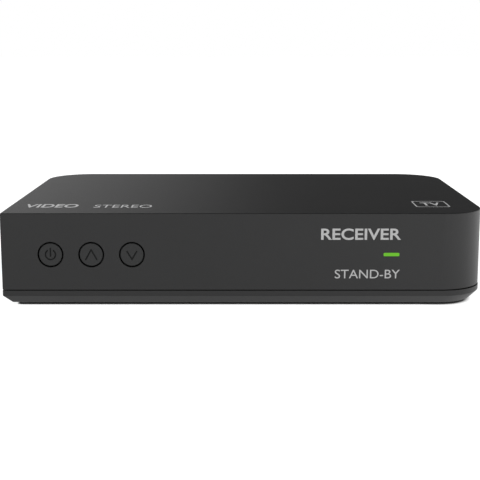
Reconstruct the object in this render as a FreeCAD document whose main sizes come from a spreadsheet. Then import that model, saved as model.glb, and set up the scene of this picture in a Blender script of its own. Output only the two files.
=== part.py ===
import FreeCAD, Part
from math import pi
import os
import re
import Sketcher

# Satellite television receiver: a flat moulded set-top box with three push buttons, a status light
# and its sockets on a rear panel.  Millimetres, +Z up, the front faces -Y, +X to the viewer's right.
# The origin is on the table, under the middle of the whole object, aerial thread included.

# Driving sizes: alias in the sheet, millimetres, what it measures.
DIMENSIONS = (
    ("width", 168.0, "housing, left to right"),
    ("depth", 112.0, "housing, front to rear"),
    ("height", 33.0, "table to the top of the cover"),
    ("wall", 2.2, "side walls of the cover"),
    ("roof", 2.0, "top of the cover"),
    ("corner_front_left", 0.6, "the one corner of the plan that is nearly sharp"),
    ("corner_front_right", 16.5, "plan radius, front right"),
    ("corner_rear_right", 18.0, "plan radius, rear right"),
    ("corner_rear_left", 17.5, "plan radius, rear left"),
    ("corner_inside", 0.5, "inner plan radius behind the sharp corner"),
    ("edge_radius", 0.5, "rounding of the cover's top edge"),
    ("foot_gap", 1.0, "table to the underside of the tray"),
    ("tray_chamfer", 3.0, "bevel round the foot of the tray"),
    ("seam_height", 6.0, "table to the middle of the seam"),
    ("seam_gap", 0.3, "shadow gap between tray and cover"),
    ("tray_wall", 3.7, "side walls of the tray, lip included"),
    ("tray_floor", 2.0, "floor of the tray"),
    ("lip_clearance", 0.2, "cover wall to the lip inside it"),
    ("lip_height", 2.4, "lip above the tray's edge"),
    ("button_pitch", 14.04, "button to button"),
    ("button_inset", 17.14, "left wall to the first button's axis"),
    ("button_drop", 14.43, "top of the cover to the buttons' axes"),
    ("button_radius", 4.0, "visible face of a button"),
    ("button_clearance", 0.45, "ring gap round a button"),
    ("button_travel", 0.5, "push of a button"),
    ("button_round", 0.35, "rounded rim of a button's face"),
    ("collar_depth", 2.0, "guide tube behind the front wall"),
    ("collar_wall", 1.5, "guide tube, thickness"),
    ("flange_radius", 5.2, "stop flange of a button"),
    ("flange_thickness", 1.2, "stop flange, front to rear"),
    ("stem_radius", 2.0, "rear stem of a button"),
    ("stem_length", 1.6, "rear stem, front to rear"),
    ("icon_depth", 0.25, "depth of the symbols cut in the button faces"),
    ("icon_stroke", 0.42, "line width of the symbols"),
    ("icon_radius", 1.72, "ring of the stand-by symbol, to the middle of its line"),
    ("icon_gap", 1.05, "half the opening at the top of that ring"),
    ("bar_top", 2.2, "stand-by symbol's bar above the button's axis"),
    ("bar_foot", 0.5, "stand-by symbol's bar below the button's axis"),
    ("up_span", 3.8, "upward arrow, foot to foot"),
    ("up_rise", 3.4, "upward arrow, feet to point"),
    ("down_span", 3.3, "downward arrow, end to end"),
    ("down_rise", 2.8, "downward arrow, ends to point"),
    ("lamp_inset", 33.23, "right wall to the middle of the status light"),
    ("lamp_drop", 14.4, "top of the cover to the middle of the status light"),
    ("lamp_width", 5.4, "status light, left to right"),
    ("lamp_height", 1.14, "status light, up and down"),
    ("lamp_clearance", 0.05, "light guide to its slot"),
    ("lamp_flange", 1.2, "light guide's collar beyond its slot"),
    ("lamp_flange_thickness", 1.0, "light guide's collar, front to rear"),
    ("led_height", 1.6, "status diode above its board"),
    ("led_width", 3.2, "status diode, left to right"),
    ("led_gap", 0.1, "light guide to the diode"),
    ("window_thickness", 1.0, "front wall where the infrared passes"),
    ("window_side", 8.0, "thinned patch of the front wall"),
    ("receiver_offset", 13.0, "status light to the infrared receiver"),
    ("receiver_side", 6.0, "infrared receiver, width and height"),
    ("receiver_depth", 3.4, "infrared receiver, front to rear"),
    ("receiver_dome", 2.2, "radius of its lens"),
    ("switch_side", 6.0, "push switch, width and height"),
    ("switch_depth", 3.4, "moulded base of a push switch"),
    ("switch_cover", 0.2, "sheet metal cover of a push switch"),
    ("plunger_radius", 1.7, "plunger of a push switch"),
    ("plunger_reach", 1.0, "plunger in front of the switch"),
    ("plunger_depth", 1.6, "plunger inside the switch"),
    ("plunger_clearance", 0.1, "plunger to its bore"),
    ("front_board_thickness", 1.6, "front circuit board"),
    ("front_board_foot", 6.5, "table to the front board's lower edge"),
    ("front_board_height", 21.0, "front board, up and down"),
    ("front_board_margin", 8.0, "left wall to the front board"),
    ("guide_width", 4.0, "slotted guide at each end of the front board"),
    ("guide_cheek", 1.8, "guide, beside the slot"),
    ("guide_bite", 2.0, "front board inside each guide"),
    ("guide_clearance", 0.1, "front board to its guide"),
    ("guide_foot", 12.0, "table to the lower end of the guides"),
    ("board_side", 18.0, "side wall to the edges of the main board"),
    ("board_thickness", 1.6, "main circuit board"),
    ("board_foot", 8.0, "table to the underside of the main board"),
    ("board_gap", 0.3, "main board to the parts before and behind it"),
    ("board_screw_inset", 6.0, "board edge to its screws"),
    ("standoff_radius", 3.5, "pillars under the main board"),
    ("rib_thickness", 1.8, "rib that carries the rear edge of the board"),
    ("rib_inset", 14.0, "side edges of the board to that rib's ends"),
    ("screw_radius", 1.45, "shank of every screw"),
    ("screw_clearance", 0.05, "shank to its pilot hole"),
    ("screw_slack", 0.25, "shank to a plain hole"),
    ("screw_head_radius", 2.8, "head of a screw"),
    ("screw_head_height", 2.1, "head of a screw"),
    ("case_screw_length", 12.0, "shank of a case screw"),
    ("board_screw_length", 6.0, "shank of a board screw"),
    ("cross_width", 0.8, "arm of the cross recess"),
    ("cross_span", 3.2, "cross recess, end to end"),
    ("cross_depth", 1.3, "cross recess"),
    ("post_radius", 4.2, "posts that take the case screws"),
    ("post_inset", 12.0, "side wall to a post's axis"),
    ("post_front", 22.0, "front face to the front posts"),
    ("post_rear", 16.0, "rear face to the rear posts"),
    ("post_join", 9.0, "table to where tray post meets cover boss"),
    ("bore_depth", 3.2, "sunk seat of a case screw's head"),
    ("bore_slack", 0.35, "head to the sunk seat's wall"),
    ("pilot_spare", 1.2, "pilot hole beyond the screw's tip"),
    ("foot_radius", 6.0, "rubber foot"),
    ("foot_inset", 24.0, "side wall to a foot's axis"),
    ("foot_end", 20.0, "front or rear face to a foot's axis"),
    ("foot_recess", 0.8, "foot sunk in the tray"),
    ("foot_clearance", 0.15, "foot to its recess"),
    ("foot_bevel", 0.35, "bevelled rim of a foot"),
    ("slot_flat", 0.02, "flat at the middle of an air slot's round end"),
    ("vent_count", 13, "slots in the tray's floor"),
    ("vent_pitch", 6.0, "slot to slot"),
    ("vent_width", 2.4, "slot"),
    ("vent_length", 34.0, "slot in the floor, front to rear"),
    ("panel_thickness", 2.0, "rear panel"),
    ("panel_lap", 2.0, "rear panel behind the cover's rim"),
    ("opening_rim", 4.5, "top of the cover to the window that the panel shows in"),
    ("panel_clearance", 0.1, "rear panel to its seats"),
    ("clamp_length", 6.0, "lugs under the roof that press the panel back"),
    ("clamp_thickness", 2.0, "the same lugs, front to rear"),
    ("grille_count", 10, "slots in the rear panel"),
    ("grille_pitch", 4.0, "slot to slot"),
    ("grille_width", 1.8, "slot in the panel"),
    ("grille_length", 4.6, "slot in the panel, up and down"),
    ("grille_drop", 8.2, "top of the cover to the middle of the row"),
    ("tuner_share", 0.6, "screening can's part of the width that the other sockets leave"),
    ("tuner_depth", 46.0, "screening can, front to rear"),
    ("tuner_height", 14.0, "screening can above the board"),
    ("tuner_sheet", 0.5, "sheet of the can"),
    ("tuner_skirt", 1.2, "rim of the can's lid, inside the can"),
    ("tuner_chip_side", 7.0, "tuner chip"),
    ("tuner_chip_height", 1.0, "tuner chip"),
    ("aerial_height", 6.8, "thread's axis above the board"),
    ("thread_radius", 4.7, "threaded barrel over its crests"),
    ("thread_reach", 11.0, "barrel behind the rear face"),
    ("thread_flank", 0.3, "crests of the thread to the middle of its flanks"),
    ("barrel_wall", 1.3, "metal of the barrel"),
    ("shoulder_radius", 5.4, "barrel's shoulder inside the can"),
    ("shoulder_thickness", 1.2, "the same shoulder"),
    ("aerial_recess", 1.0, "insulator behind the barrel's mouth"),
    ("contact_radius", 0.9, "aerial's centre contact"),
    ("contact_bore", 0.5, "hole of the centre contact"),
    ("washer_radius", 6.6, "washer on the thread"),
    ("washer_thickness", 0.8, "washer on the thread"),
    ("nut_radius", 6.4, "nut on the thread, over its corners"),
    ("nut_thickness", 2.4, "nut on the thread"),
    ("thread_clearance", 0.05, "barrel to nut and washer"),
    ("hole_clearance", 0.3, "rear panel to what passes through"),
    ("socket_proud", 0.6, "sockets behind the panel's outer face"),
    ("scart_width", 47.0, "television socket's shield, left to right"),
    ("scart_height", 15.0, "the same shield, up and down"),
    ("scart_depth", 19.0, "the same shield, front to rear"),
    ("scart_bevel", 6.0, "cut lower corner of the shield"),
    ("scart_sheet", 0.7, "sheet of the shield"),
    ("scart_ring", 1.9, "gap between shield and tongue"),
    ("scart_hollow", 9.0, "depth of that gap"),
    ("scart_pitch", 3.81, "contact slot to contact slot"),
    ("scart_row_gap", 5.0, "upper row to lower row"),
    ("scart_slot_width", 1.3, "contact slot"),
    ("scart_slot_height", 2.7, "contact slot"),
    ("scart_blade", 0.5, "contact in its slot"),
    ("hdmi_width", 15.0, "digital picture socket's shell, left to right"),
    ("hdmi_height", 5.7, "the same shell, up and down"),
    ("hdmi_depth", 11.6, "the same shell, front to rear"),
    ("hdmi_bevel", 2.0, "cut lower corners of the shell"),
    ("hdmi_sheet", 0.4, "sheet of the shell"),
    ("hdmi_back", 3.4, "moulding at the rear of the shell"),
    ("hdmi_tongue_width", 11.8, "tongue inside the shell"),
    ("hdmi_tongue_height", 1.2, "tongue inside the shell"),
    ("audio_width", 10.0, "digital sound socket's body, left to right"),
    ("audio_height", 12.4, "its body, up and down"),
    ("audio_depth", 9.0, "its body, front to rear"),
    ("audio_axis", 6.4, "its axis above the board"),
    ("audio_radius", 4.15, "its outer ring"),
    ("audio_ring_wall", 0.6, "metal of the ring"),
    ("audio_neck", 0.2, "ring is this much slimmer in its body and the panel"),
    ("audio_shoulder", 0.4, "panel to where the ring widens"),
    ("audio_reach", 8.6, "ring behind the panel's outer face"),
    ("audio_bore", 1.6, "hole for the plug's pin"),
    ("audio_contact_wall", 0.3, "metal inside that hole"),
    ("audio_recess", 0.6, "insulator behind the ring's mouth"),
    ("power_width", 9.0, "direct current inlet's body, left to right"),
    ("power_height", 11.0, "its body, up and down"),
    ("power_depth", 13.4, "its body, front to rear"),
    ("power_axis", 6.4, "its axis above the board"),
    ("power_nose", 4.0, "its round mouth"),
    ("power_bore", 2.9, "radius of the bore for the plug"),
    ("power_bore_depth", 9.5, "bore for the plug"),
    ("power_pin", 1.0, "radius of the centre pin"),
    ("processor_side", 23.0, "processor"),
    ("processor_height", 2.0, "processor"),
    ("processor_inset", 54.0, "right edge of the board to the processor's middle"),
    ("processor_y", 42.0, "processor, behind the board's front edge"),
    ("pad_side", 19.0, "heat pad"),
    ("pad_thickness", 0.5, "heat pad"),
    ("sink_side", 30.0, "heat sink"),
    ("sink_base", 1.8, "heat sink's plate"),
    ("sink_height", 8.0, "heat sink"),
    ("fin_count", 8, "fins of the heat sink"),
    ("fin_thickness", 1.1, "fin"),
    ("memory_width", 10.0, "memory chip, left to right"),
    ("memory_depth", 14.0, "memory chip, front to rear"),
    ("memory_height", 1.1, "memory chip"),
    ("memory_gap", 6.0, "processor to the memory chips"),
    ("memory_step", 18.0, "memory chip to memory chip"),
    ("flash_width", 8.0, "program store chip"),
    ("flash_depth", 6.0, "program store chip"),
    ("flash_height", 1.6, "program store chip"),
    ("crystal_width", 10.6, "quartz can"),
    ("crystal_depth", 4.4, "quartz can"),
    ("crystal_height", 3.4, "quartz can"),
    ("capacitor_radius", 4.0, "electrolytic can"),
    ("capacitor_height", 10.0, "electrolytic can"),
    ("capacitor_step", 11.0, "electrolytic can to can"),
    ("capacitor_inset", 15.5, "right edge of the board to the middle of the cans"),
    ("capacitor_y", 21.5, "rear screws of the board to the middle of the cans"),
    ("inductor_inset", 21.0, "right edge of the board to the power inductors"),
    ("inductor_side", 7.0, "power inductor"),
    ("inductor_height", 4.4, "power inductor"),
    ("regulator_inset", 13.0, "right edge of the board to the voltage regulators"),
    ("converter_step", 10.5, "regulator to regulator, and inductor to inductor"),
    ("regulator_width", 5.0, "voltage regulator"),
    ("regulator_depth", 4.0, "voltage regulator"),
    ("regulator_height", 1.7, "voltage regulator"),
    ("chip_length", 2.0, "small chip component"),
    ("chip_width", 1.25, "small chip component"),
    ("chip_height", 0.8, "small chip component"),
    ("chip_step", 4.0, "small chip to small chip"),
    ("pin_side", 0.64, "square pins between the boards"),
    ("pin_pitch", 2.54, "pin to pin"),
    ("pin_hole", 0.5, "radius of the holes for those pins"),
    ("pin_tail", 1.0, "pin beyond the board"),
    ("strip_side", 2.5, "plastic strip that holds the pins"),
)

# Places worked out from the sizes, by name.
PLACES = {
    "front": "-(depth + thread_reach) / 2",
    "rear": "front + depth",
    "left": "-width / 2",
    "right": "width / 2",
    "inside": "front + wall",
    "ceiling": "height - roof",
    "tray_top": "seam_height - seam_gap / 2",
    "cover_foot": "seam_height + seam_gap / 2",
    "bevel_top": "foot_gap + tray_chamfer",
    "lip_top": "tray_top + lip_height",
    "floor_top": "foot_gap + tray_floor",
    "button_z": "height - button_drop",
    "lamp_z": "height - lamp_drop",
    "lamp_x": "right - lamp_inset",
    "receiver_x": "lamp_x - receiver_offset",
    "collar_end": "inside + collar_depth",
    "flange_end": "collar_end + flange_thickness",
    "stem_end": "flange_end + stem_length",
    "switch_face": "stem_end + plunger_reach",
    "front_board_y": "switch_face + switch_cover + switch_depth",
    "front_board_rear": "front_board_y + front_board_thickness",
    "front_board_left": "left + front_board_margin",
    "front_board_right": "board_right",
    "board_front": "front_board_rear + board_gap",
    "panel_outer": "rear - wall",
    "panel_inner": "panel_outer - panel_thickness",
    "board_rear": "panel_inner - board_gap",
    "board_top": "board_foot + board_thickness",
    "board_right": "right - board_side",
    "board_screw_x": "board_right - board_screw_inset",
    "board_screw_y": "board_front + board_screw_inset",
    "board_screw_rear_y": "tuner_front - board_screw_inset",
    "processor_x": "board_right - processor_inset",
    "capacitor_x": "board_right - capacitor_inset",
    "inductor_x": "board_right - inductor_inset",
    "regulator_x": "board_right - regulator_inset",
    "post_x": "width / 2 - post_inset",
    "post_front_y": "front + post_front",
    "post_rear_y": "rear - post_rear",
    "foot_x": "width / 2 - foot_inset",
    "foot_front_y": "front + foot_end",
    "foot_rear_y": "rear - foot_end",
    "head_seat": "foot_gap + bore_depth",
    "panel_side": "right - max(corner_rear_left; corner_rear_right)",
    "opening_side": "panel_side - panel_lap",
    "socket_room": "2 * opening_side - scart_width - hdmi_width - audio_width - power_width",
    "tuner_width": "tuner_share * socket_room",
    "socket_gap": "(1 - tuner_share) * socket_room / 6",
    "tuner_centre": "-opening_side + socket_gap + tuner_width / 2",
    "scart_centre": "tuner_centre + tuner_width / 2 + socket_gap + scart_width / 2",
    "hdmi_centre": "scart_centre + scart_width / 2 + socket_gap + hdmi_width / 2",
    "audio_centre": "hdmi_centre + hdmi_width / 2 + socket_gap + audio_width / 2",
    "power_centre": "audio_centre + audio_width / 2 + socket_gap + power_width / 2",
    "grille_centre": "(hdmi_centre + power_centre) / 2",
    "tuner_left": "tuner_centre - tuner_width / 2",
    "tuner_front": "board_rear - tuner_depth",
    "tuner_top": "board_top + tuner_height",
    "aerial_z": "board_top + aerial_height",
    "aerial_end": "rear + thread_reach",
    "socket_end": "panel_outer + socket_proud",
    "audio_z": "board_top + audio_axis",
    "audio_end": "panel_outer + audio_reach",
    "power_z": "board_top + power_axis",
    "processor_cy": "board_front + processor_y",
    "processor_top": "board_top + processor_height",
    "sink_foot": "processor_top + pad_thickness",
    "strip_rear": "front_board_rear + strip_side",
    "pin_z": "board_top + strip_side / 2",
    "pin_y": "strip_rear + pin_side * 2",
}

BUTTONS = ("power", "up", "down")
PIN_COUNT = 8
SAME_PLANE = 1e-4
ALIASES = {alias for alias, millimetres, meaning in DIMENSIONS}
SUB_PARTS = []

doc = FreeCAD.newDocument("satellite_receiver")
dims = doc.addObject("Spreadsheet::Sheet", "dims")
for row, (alias, millimetres, meaning) in enumerate(DIMENSIONS, 1):
    dims.set("A%d" % row, meaning)
    dims.set("B%d" % row, str(millimetres))
    dims.setAlias("B%d" % row, alias)
doc.recompute()


# ---- Expressions, sketches and features -------------------------------------------------------


def bound(text):
    """The same expression with each size read from the sheet and each named place written out."""
    def spell(match):
        word = match.group(0)
        if word in PLACES:
            return "(%s)" % bound(PLACES[word])
        return "dims." + word if word in ALIASES else word
    return re.sub(r"[a-z_]+", spell, str(text))


def value(text):
    """What an expression comes to now, in millimetres."""
    return float(dims.evalExpression(bound(text)))


def keep(thing, name):
    """Name an object as a sub-part that goes to a file of its own."""
    thing.Label = name
    SUB_PARTS.append(thing)
    return thing


def new_body(name):
    return keep(doc.addObject("PartDesign::Body", name), name)


def sketch_on(body, plane, offset):
    """A sketch on XY at a height, on XZ at a depth (Y), or on YZ at a place along X."""
    sketch = body.newObject("Sketcher::SketchObject", body.Name + "_sketch")
    support = [f for f in body.Origin.OriginFeatures if f.Role == plane + "_Plane"][0]
    sketch.AttachmentSupport = (support, [""])
    sketch.MapMode = "FlatFace"
    along = "-(%s)" % offset if plane == "XZ" else offset
    sketch.setExpression("AttachmentOffset.Base.z", bound(along))
    return sketch


def fix(sketch, kind, where, size):
    """Add a dimension to a sketch and bind it to an expression."""
    index = sketch.addConstraint(Sketcher.Constraint(kind, *where, value(size)))
    sketch.setExpression("Constraints[%d]" % index, bound(size))


def fix_point(sketch, edge, point, x, y):
    fix(sketch, "DistanceX", (-1, 1, edge, point), x)
    fix(sketch, "DistanceY", (-1, 1, edge, point), y)


def draw_circle(sketch, x, y, radius):
    centre = FreeCAD.Vector(value(x), value(y), 0)
    circle = sketch.addGeometry(Part.Circle(centre, FreeCAD.Vector(0, 0, 1), value(radius)))
    fix_point(sketch, circle, 3, x, y)
    fix(sketch, "Radius", (circle,), radius)


def draw_polygon(sketch, corners):
    """A closed outline through the given corners, each one tied to the sheet."""
    spots = [FreeCAD.Vector(value(x), value(y), 0) for x, y in corners]
    ring = zip(spots, spots[1:] + spots[:1])
    edges = [sketch.addGeometry(Part.LineSegment(here, there)) for here, there in ring]
    for number, edge in enumerate(edges):
        before = edges[number - 1]
        sketch.addConstraint(Sketcher.Constraint("Coincident", before, 2, edge, 1))
        fix_point(sketch, edge, 1, *corners[number])


def draw_box(sketch, x0, y0, x1, y1):
    draw_polygon(sketch, ((x0, y0), (x1, y0), (x1, y1), (x0, y1)))


def draw_rounded(sketch, x0, y0, x1, y1, radii):
    """A rectangle with four rounded corners, from the lower left one anticlockwise."""
    across, up = (x0, x1, x1, x0), (y0, y0, y1, y1)
    signs = ((1, 1), (-1, 1), (-1, -1), (1, -1))
    arcs, ends = [], []
    for corner, (sx, sy) in enumerate(signs):
        radius = radii[corner]
        x = "(%s) + %d * (%s)" % (across[corner], sx, radius)
        y = "(%s) + %d * (%s)" % (up[corner], sy, radius)
        centre = FreeCAD.Vector(value(x), value(y), 0)
        circle = Part.Circle(centre, FreeCAD.Vector(0, 0, 1), value(radius))
        start = pi + corner * pi / 2
        arc = sketch.addGeometry(Part.ArcOfCircle(circle, start, start + pi / 2))
        ends.append((circle.value(start), circle.value(start + pi / 2)))
        fix_point(sketch, arc, 3, x, y)
        fix(sketch, "Radius", (arc,), radius)
        arcs.append(arc)
    for corner, arc in enumerate(arcs):
        following = (corner + 1) % 4
        line = sketch.addGeometry(Part.LineSegment(ends[corner][1], ends[following][0]))
        sketch.addConstraint(Sketcher.Constraint("Tangent", arc, 2, line, 1))
        sketch.addConstraint(Sketcher.Constraint("Tangent", line, 2, arcs[following], 1))


def draw_housing(sketch, inset):
    """The plan of the housing, moved inwards: one nearly sharp corner and three round ones."""
    first = "corner_front_left" if inset == "0" else "corner_inside"
    radii = (first, "corner_front_right - (%s)" % inset, "corner_rear_right - (%s)" % inset,
             "corner_rear_left - (%s)" % inset)
    draw_rounded(sketch, "left + (%s)" % inset, "front + (%s)" % inset,
                 "right - (%s)" % inset, "rear - (%s)" % inset, radii)


def pad(body, sketch, length, backwards=False):
    """Raise a sketch along its plane's normal, or the other way."""
    feature = body.newObject("PartDesign::Pad", body.Name + "_pad")
    feature.Profile = sketch
    feature.Reversed = backwards
    feature.setExpression("Length", bound(length))
    doc.recompute()
    return feature


def pocket(body, sketch, length, backwards=False):
    """Sink a sketch against its plane's normal, or the other way, and see that it cuts."""
    before = body.Shape.Volume
    feature = body.newObject("PartDesign::Pocket", body.Name + "_pocket")
    feature.Profile = sketch
    feature.Reversed = backwards
    feature.setExpression("Length", bound(length))
    doc.recompute()
    if body.Shape.Volume >= before:
        raise ValueError("a pocket in %s cuts nothing" % body.Label)
    return feature


def dress_edges(body, kind, chosen, size):
    """Round or bevel the edges of the body that the test chooses."""
    base = body.Tip
    numbered = enumerate(base.Shape.Edges, 1)
    names = ["Edge%d" % number for number, edge in numbered if chosen(edge)]
    feature = body.newObject("PartDesign::" + kind, body.Name + "_" + kind.lower())
    feature.Base = (base, names)
    feature.setExpression("Radius" if kind == "Fillet" else "Size", bound(size))
    doc.recompute()


def lies_at(axis, place):
    """A test for edges that lie in the plane where x, y or z has the given place."""
    level = value(place)

    def chosen(edge):
        box = edge.BoundBox
        low, high = getattr(box, axis.upper() + "Min"), getattr(box, axis.upper() + "Max")
        return max(abs(low - level), abs(high - level)) < SAME_PLANE
    return chosen


def repeat(body, feature, axis, span, count):
    """A row of copies of one feature along an axis of the body, over the given span."""
    row_of = body.newObject("PartDesign::LinearPattern", body.Name + "_row")
    row_of.Originals = [feature]
    along = [f for f in body.Origin.OriginFeatures if f.Role == axis + "_Axis"][0]
    row_of.Direction = (along, [""])
    row_of.setExpression("Length", bound(span))
    row_of.setExpression("Occurrences", bound(count))
    body.Tip = row_of
    doc.recompute()


TURNS = {
    "x": FreeCAD.Rotation(FreeCAD.Vector(0, 1, 0), 90),
    "y": FreeCAD.Rotation(FreeCAD.Vector(1, 0, 0), -90),
    "z": FreeCAD.Rotation(),
}


def place(thing, corner, turn="z"):
    thing.Placement = FreeCAD.Placement(FreeCAD.Vector(), TURNS[turn])
    for axis, where in zip("xyz", corner):
        thing.setExpression("Placement.Base." + axis, bound(where))
    return thing


def block(corner, sizes):
    """A box from its lowest corner and its width, depth and height."""
    box = doc.addObject("Part::Box", "block")
    for name, size in zip(("Length", "Width", "Height"), sizes):
        box.setExpression(name, bound(size))
    return place(box, corner)


def chip(x, y, foot, width, deep, tall):
    """A box that stands centred on a point of a board."""
    return block(("(%s) - (%s) / 2" % (x, width), "(%s) - (%s) / 2" % (y, deep), foot),
                 (width, deep, tall))


def rod(start, axis, radius, length):
    """A cylinder from the middle of its first face along x, y or z."""
    cylinder = doc.addObject("Part::Cylinder", "rod")
    cylinder.setExpression("Radius", bound(radius))
    cylinder.setExpression("Height", bound(length))
    return place(cylinder, start, axis)


def tube(start, axis, radius, bore, length):
    return minus(rod(start, axis, radius, length), rod(start, axis, bore, length))


def prism(start, axis, radius, length):
    """A hexagonal bar, sized over its corners."""
    bar = doc.addObject("Part::Prism", "prism")
    bar.Polygon = 6
    bar.setExpression("Circumradius", bound(radius))
    bar.setExpression("Height", bound(length))
    return place(bar, start, axis)


def joined(*pieces):
    fused = doc.addObject("Part::MultiFuse", "joined")
    fused.Shapes = pieces
    return fused


def minus(base, *tools):
    cut = doc.addObject("Part::Cut", "cut")
    cut.Base = base
    cut.Tool = tools[0] if len(tools) == 1 else joined(*tools)
    return cut


def group(pieces):
    """Several like solids in one node."""
    together = doc.addObject("Part::Compound", "group")
    together.Links = pieces
    return together


# ---- Housing --------------------------------------------------------------------------------


def button_x(number):
    return "left + button_inset + button_pitch * %d" % number


def post_places():
    """The four screw posts, as expressions for x and y."""
    return [(side + "post_x", y) for y in ("post_front_y", "post_rear_y") for side in ("-", "")]


def foot_places():
    return [(side + "foot_x", y) for y in ("foot_front_y", "foot_rear_y") for side in ("-", "")]


def guide_places():
    """Left edge of each front board guide, and the sign of the side its slot opens to."""
    return (("front_board_left + guide_bite - guide_width", 1),
            ("front_board_right - guide_bite", -1))


def make_top_cover():
    """The deep upper shell: roof, front, sides and the rim round the rear panel."""
    body = new_body("top_cover")
    shell = sketch_on(body, "XY", "cover_foot")
    draw_housing(shell, "0")
    pad(body, shell, "height - cover_foot")
    dress_edges(body, "Fillet", lies_at("z", "height"), "edge_radius")
    hollow = sketch_on(body, "XY", "ceiling")
    draw_housing(hollow, "wall")
    pocket(body, hollow, "ceiling - cover_foot")

    collars = sketch_on(body, "XZ", "collar_end")
    for number in range(len(BUTTONS)):
        draw_circle(collars, button_x(number), "button_z",
                    "button_radius + button_clearance + collar_wall")
    pad(body, collars, "collar_depth")
    bosses = sketch_on(body, "XY", "post_join")
    for x, y in post_places():
        draw_circle(bosses, x, y, "post_radius")
    pad(body, bosses, "ceiling - post_join")
    guides = sketch_on(body, "XY", "guide_foot")
    for edge, side in guide_places():
        draw_box(guides, edge, "front_board_y - guide_clearance - guide_cheek",
                 edge + " + guide_width", "front_board_rear + guide_clearance + guide_cheek")
    pad(body, guides, "ceiling - guide_foot")
    lugs = sketch_on(body, "XY", "ceiling - clamp_length")
    for side in ("-", ""):
        draw_box(lugs, side + "opening_side - clamp_thickness",
                 "panel_inner - panel_clearance - clamp_thickness",
                 side + "opening_side + clamp_thickness", "panel_inner - panel_clearance")
    pad(body, lugs, "clamp_length")

    holes = sketch_on(body, "XZ", "front")
    for number in range(len(BUTTONS)):
        draw_circle(holes, button_x(number), "button_z", "button_radius + button_clearance")
    draw_box(holes, "lamp_x - lamp_width / 2 - lamp_clearance",
             "lamp_z - lamp_height / 2 - lamp_clearance",
             "lamp_x + lamp_width / 2 + lamp_clearance",
             "lamp_z + lamp_height / 2 + lamp_clearance")
    pocket(body, holes, "wall + collar_depth")
    window = sketch_on(body, "XZ", "front + window_thickness")
    draw_box(window, "receiver_x - window_side / 2", "lamp_z - window_side / 2",
             "receiver_x + window_side / 2", "lamp_z + window_side / 2")
    pocket(body, window, "wall - window_thickness")
    pilots = sketch_on(body, "XY", "head_seat + case_screw_length + pilot_spare")
    for x, y in post_places():
        draw_circle(pilots, x, y, "screw_radius + screw_clearance")
    pocket(body, pilots, "head_seat + case_screw_length + pilot_spare - post_join")
    slots = sketch_on(body, "XY", "ceiling")
    for edge, side in guide_places():
        inner = edge if side < 0 else edge + " + guide_width - guide_bite - guide_clearance"
        draw_box(slots, inner, "front_board_y - guide_clearance",
                 "(%s) + guide_bite + guide_clearance" % inner,
                 "front_board_rear + guide_clearance")
    pocket(body, slots, "ceiling - guide_foot")
    opening = sketch_on(body, "XZ", "panel_outer")
    draw_box(opening, "-opening_side", "cover_foot - seam_gap", "opening_side",
             "height - opening_rim")
    pocket(body, opening, "wall")


def make_bottom_tray():
    """The shallow lower shell, bevelled round its foot, with the posts and board pillars."""
    body = new_body("bottom_tray")
    sole = sketch_on(body, "XY", "foot_gap")
    draw_housing(sole, "tray_chamfer")
    rim = sketch_on(body, "XY", "bevel_top")
    draw_housing(rim, "0")
    bevel = body.newObject("PartDesign::AdditiveLoft", "bottom_tray_bevel")
    bevel.Profile = sole
    bevel.Sections = [rim]
    bevel.Ruled = True
    doc.recompute()
    band = sketch_on(body, "XY", "bevel_top")
    draw_housing(band, "0")
    pad(body, band, "tray_top - bevel_top")
    lip = sketch_on(body, "XY", "tray_top")
    draw_housing(lip, "wall + lip_clearance")
    pad(body, lip, "lip_height")
    hollow = sketch_on(body, "XY", "lip_top")
    draw_housing(hollow, "tray_wall")
    pocket(body, hollow, "lip_top - floor_top")
    seat = sketch_on(body, "XY", "lip_top")
    draw_box(seat, "-panel_side - panel_clearance", "panel_inner - panel_thickness",
             "panel_side + panel_clearance", "panel_outer")
    pocket(body, seat, "lip_top - bevel_top")

    posts = sketch_on(body, "XY", "floor_top")
    for x, y in post_places():
        draw_circle(posts, x, y, "post_radius")
    pad(body, posts, "post_join - floor_top")
    pillars = sketch_on(body, "XY", "floor_top")
    for x, y in board_screw_places():
        draw_circle(pillars, x, y, "standoff_radius")
    draw_box(pillars, "rib_inset - board_right", "board_rear - rib_thickness",
             "board_right - rib_inset", "board_rear")
    pad(body, pillars, "board_foot - floor_top")
    rests = sketch_on(body, "XY", "floor_top")
    for x in ("front_board_left", "front_board_right - guide_width"):
        draw_box(rests, x, "front_board_y", x + " + guide_width", "front_board_rear")
    pad(body, rests, "front_board_foot - floor_top")

    shanks = sketch_on(body, "XY", "post_join")
    for x, y in post_places():
        draw_circle(shanks, x, y, "screw_radius + screw_slack")
    pocket(body, shanks, "post_join - foot_gap")
    heads = sketch_on(body, "XY", "head_seat")
    for x, y in post_places():
        draw_circle(heads, x, y, "screw_head_radius + bore_slack")
    pocket(body, heads, "bore_depth")
    pilots = sketch_on(body, "XY", "board_foot")
    for x, y in board_screw_places():
        draw_circle(pilots, x, y, "screw_radius + screw_clearance")
    pocket(body, pilots, "board_screw_length - board_thickness")
    recesses = sketch_on(body, "XY", "foot_gap + foot_recess")
    for x, y in foot_places():
        draw_circle(recesses, x, y, "foot_radius + foot_clearance")
    pocket(body, recesses, "foot_recess")
    slot = sketch_on(body, "XY", "floor_top")
    first = "-vent_pitch * (vent_count - 1) / 2"
    middle = "(board_screw_y + board_screw_rear_y) / 2"
    draw_rounded(slot, first + " - vent_width / 2", middle + " - vent_length / 2",
                 first + " + vent_width / 2", middle + " + vent_length / 2",
                 ["(vent_width - slot_flat) / 2"] * 4)
    vent = pocket(body, slot, "tray_floor")
    repeat(body, vent, "X", "vent_pitch * (vent_count - 1)", "vent_count")


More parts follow.
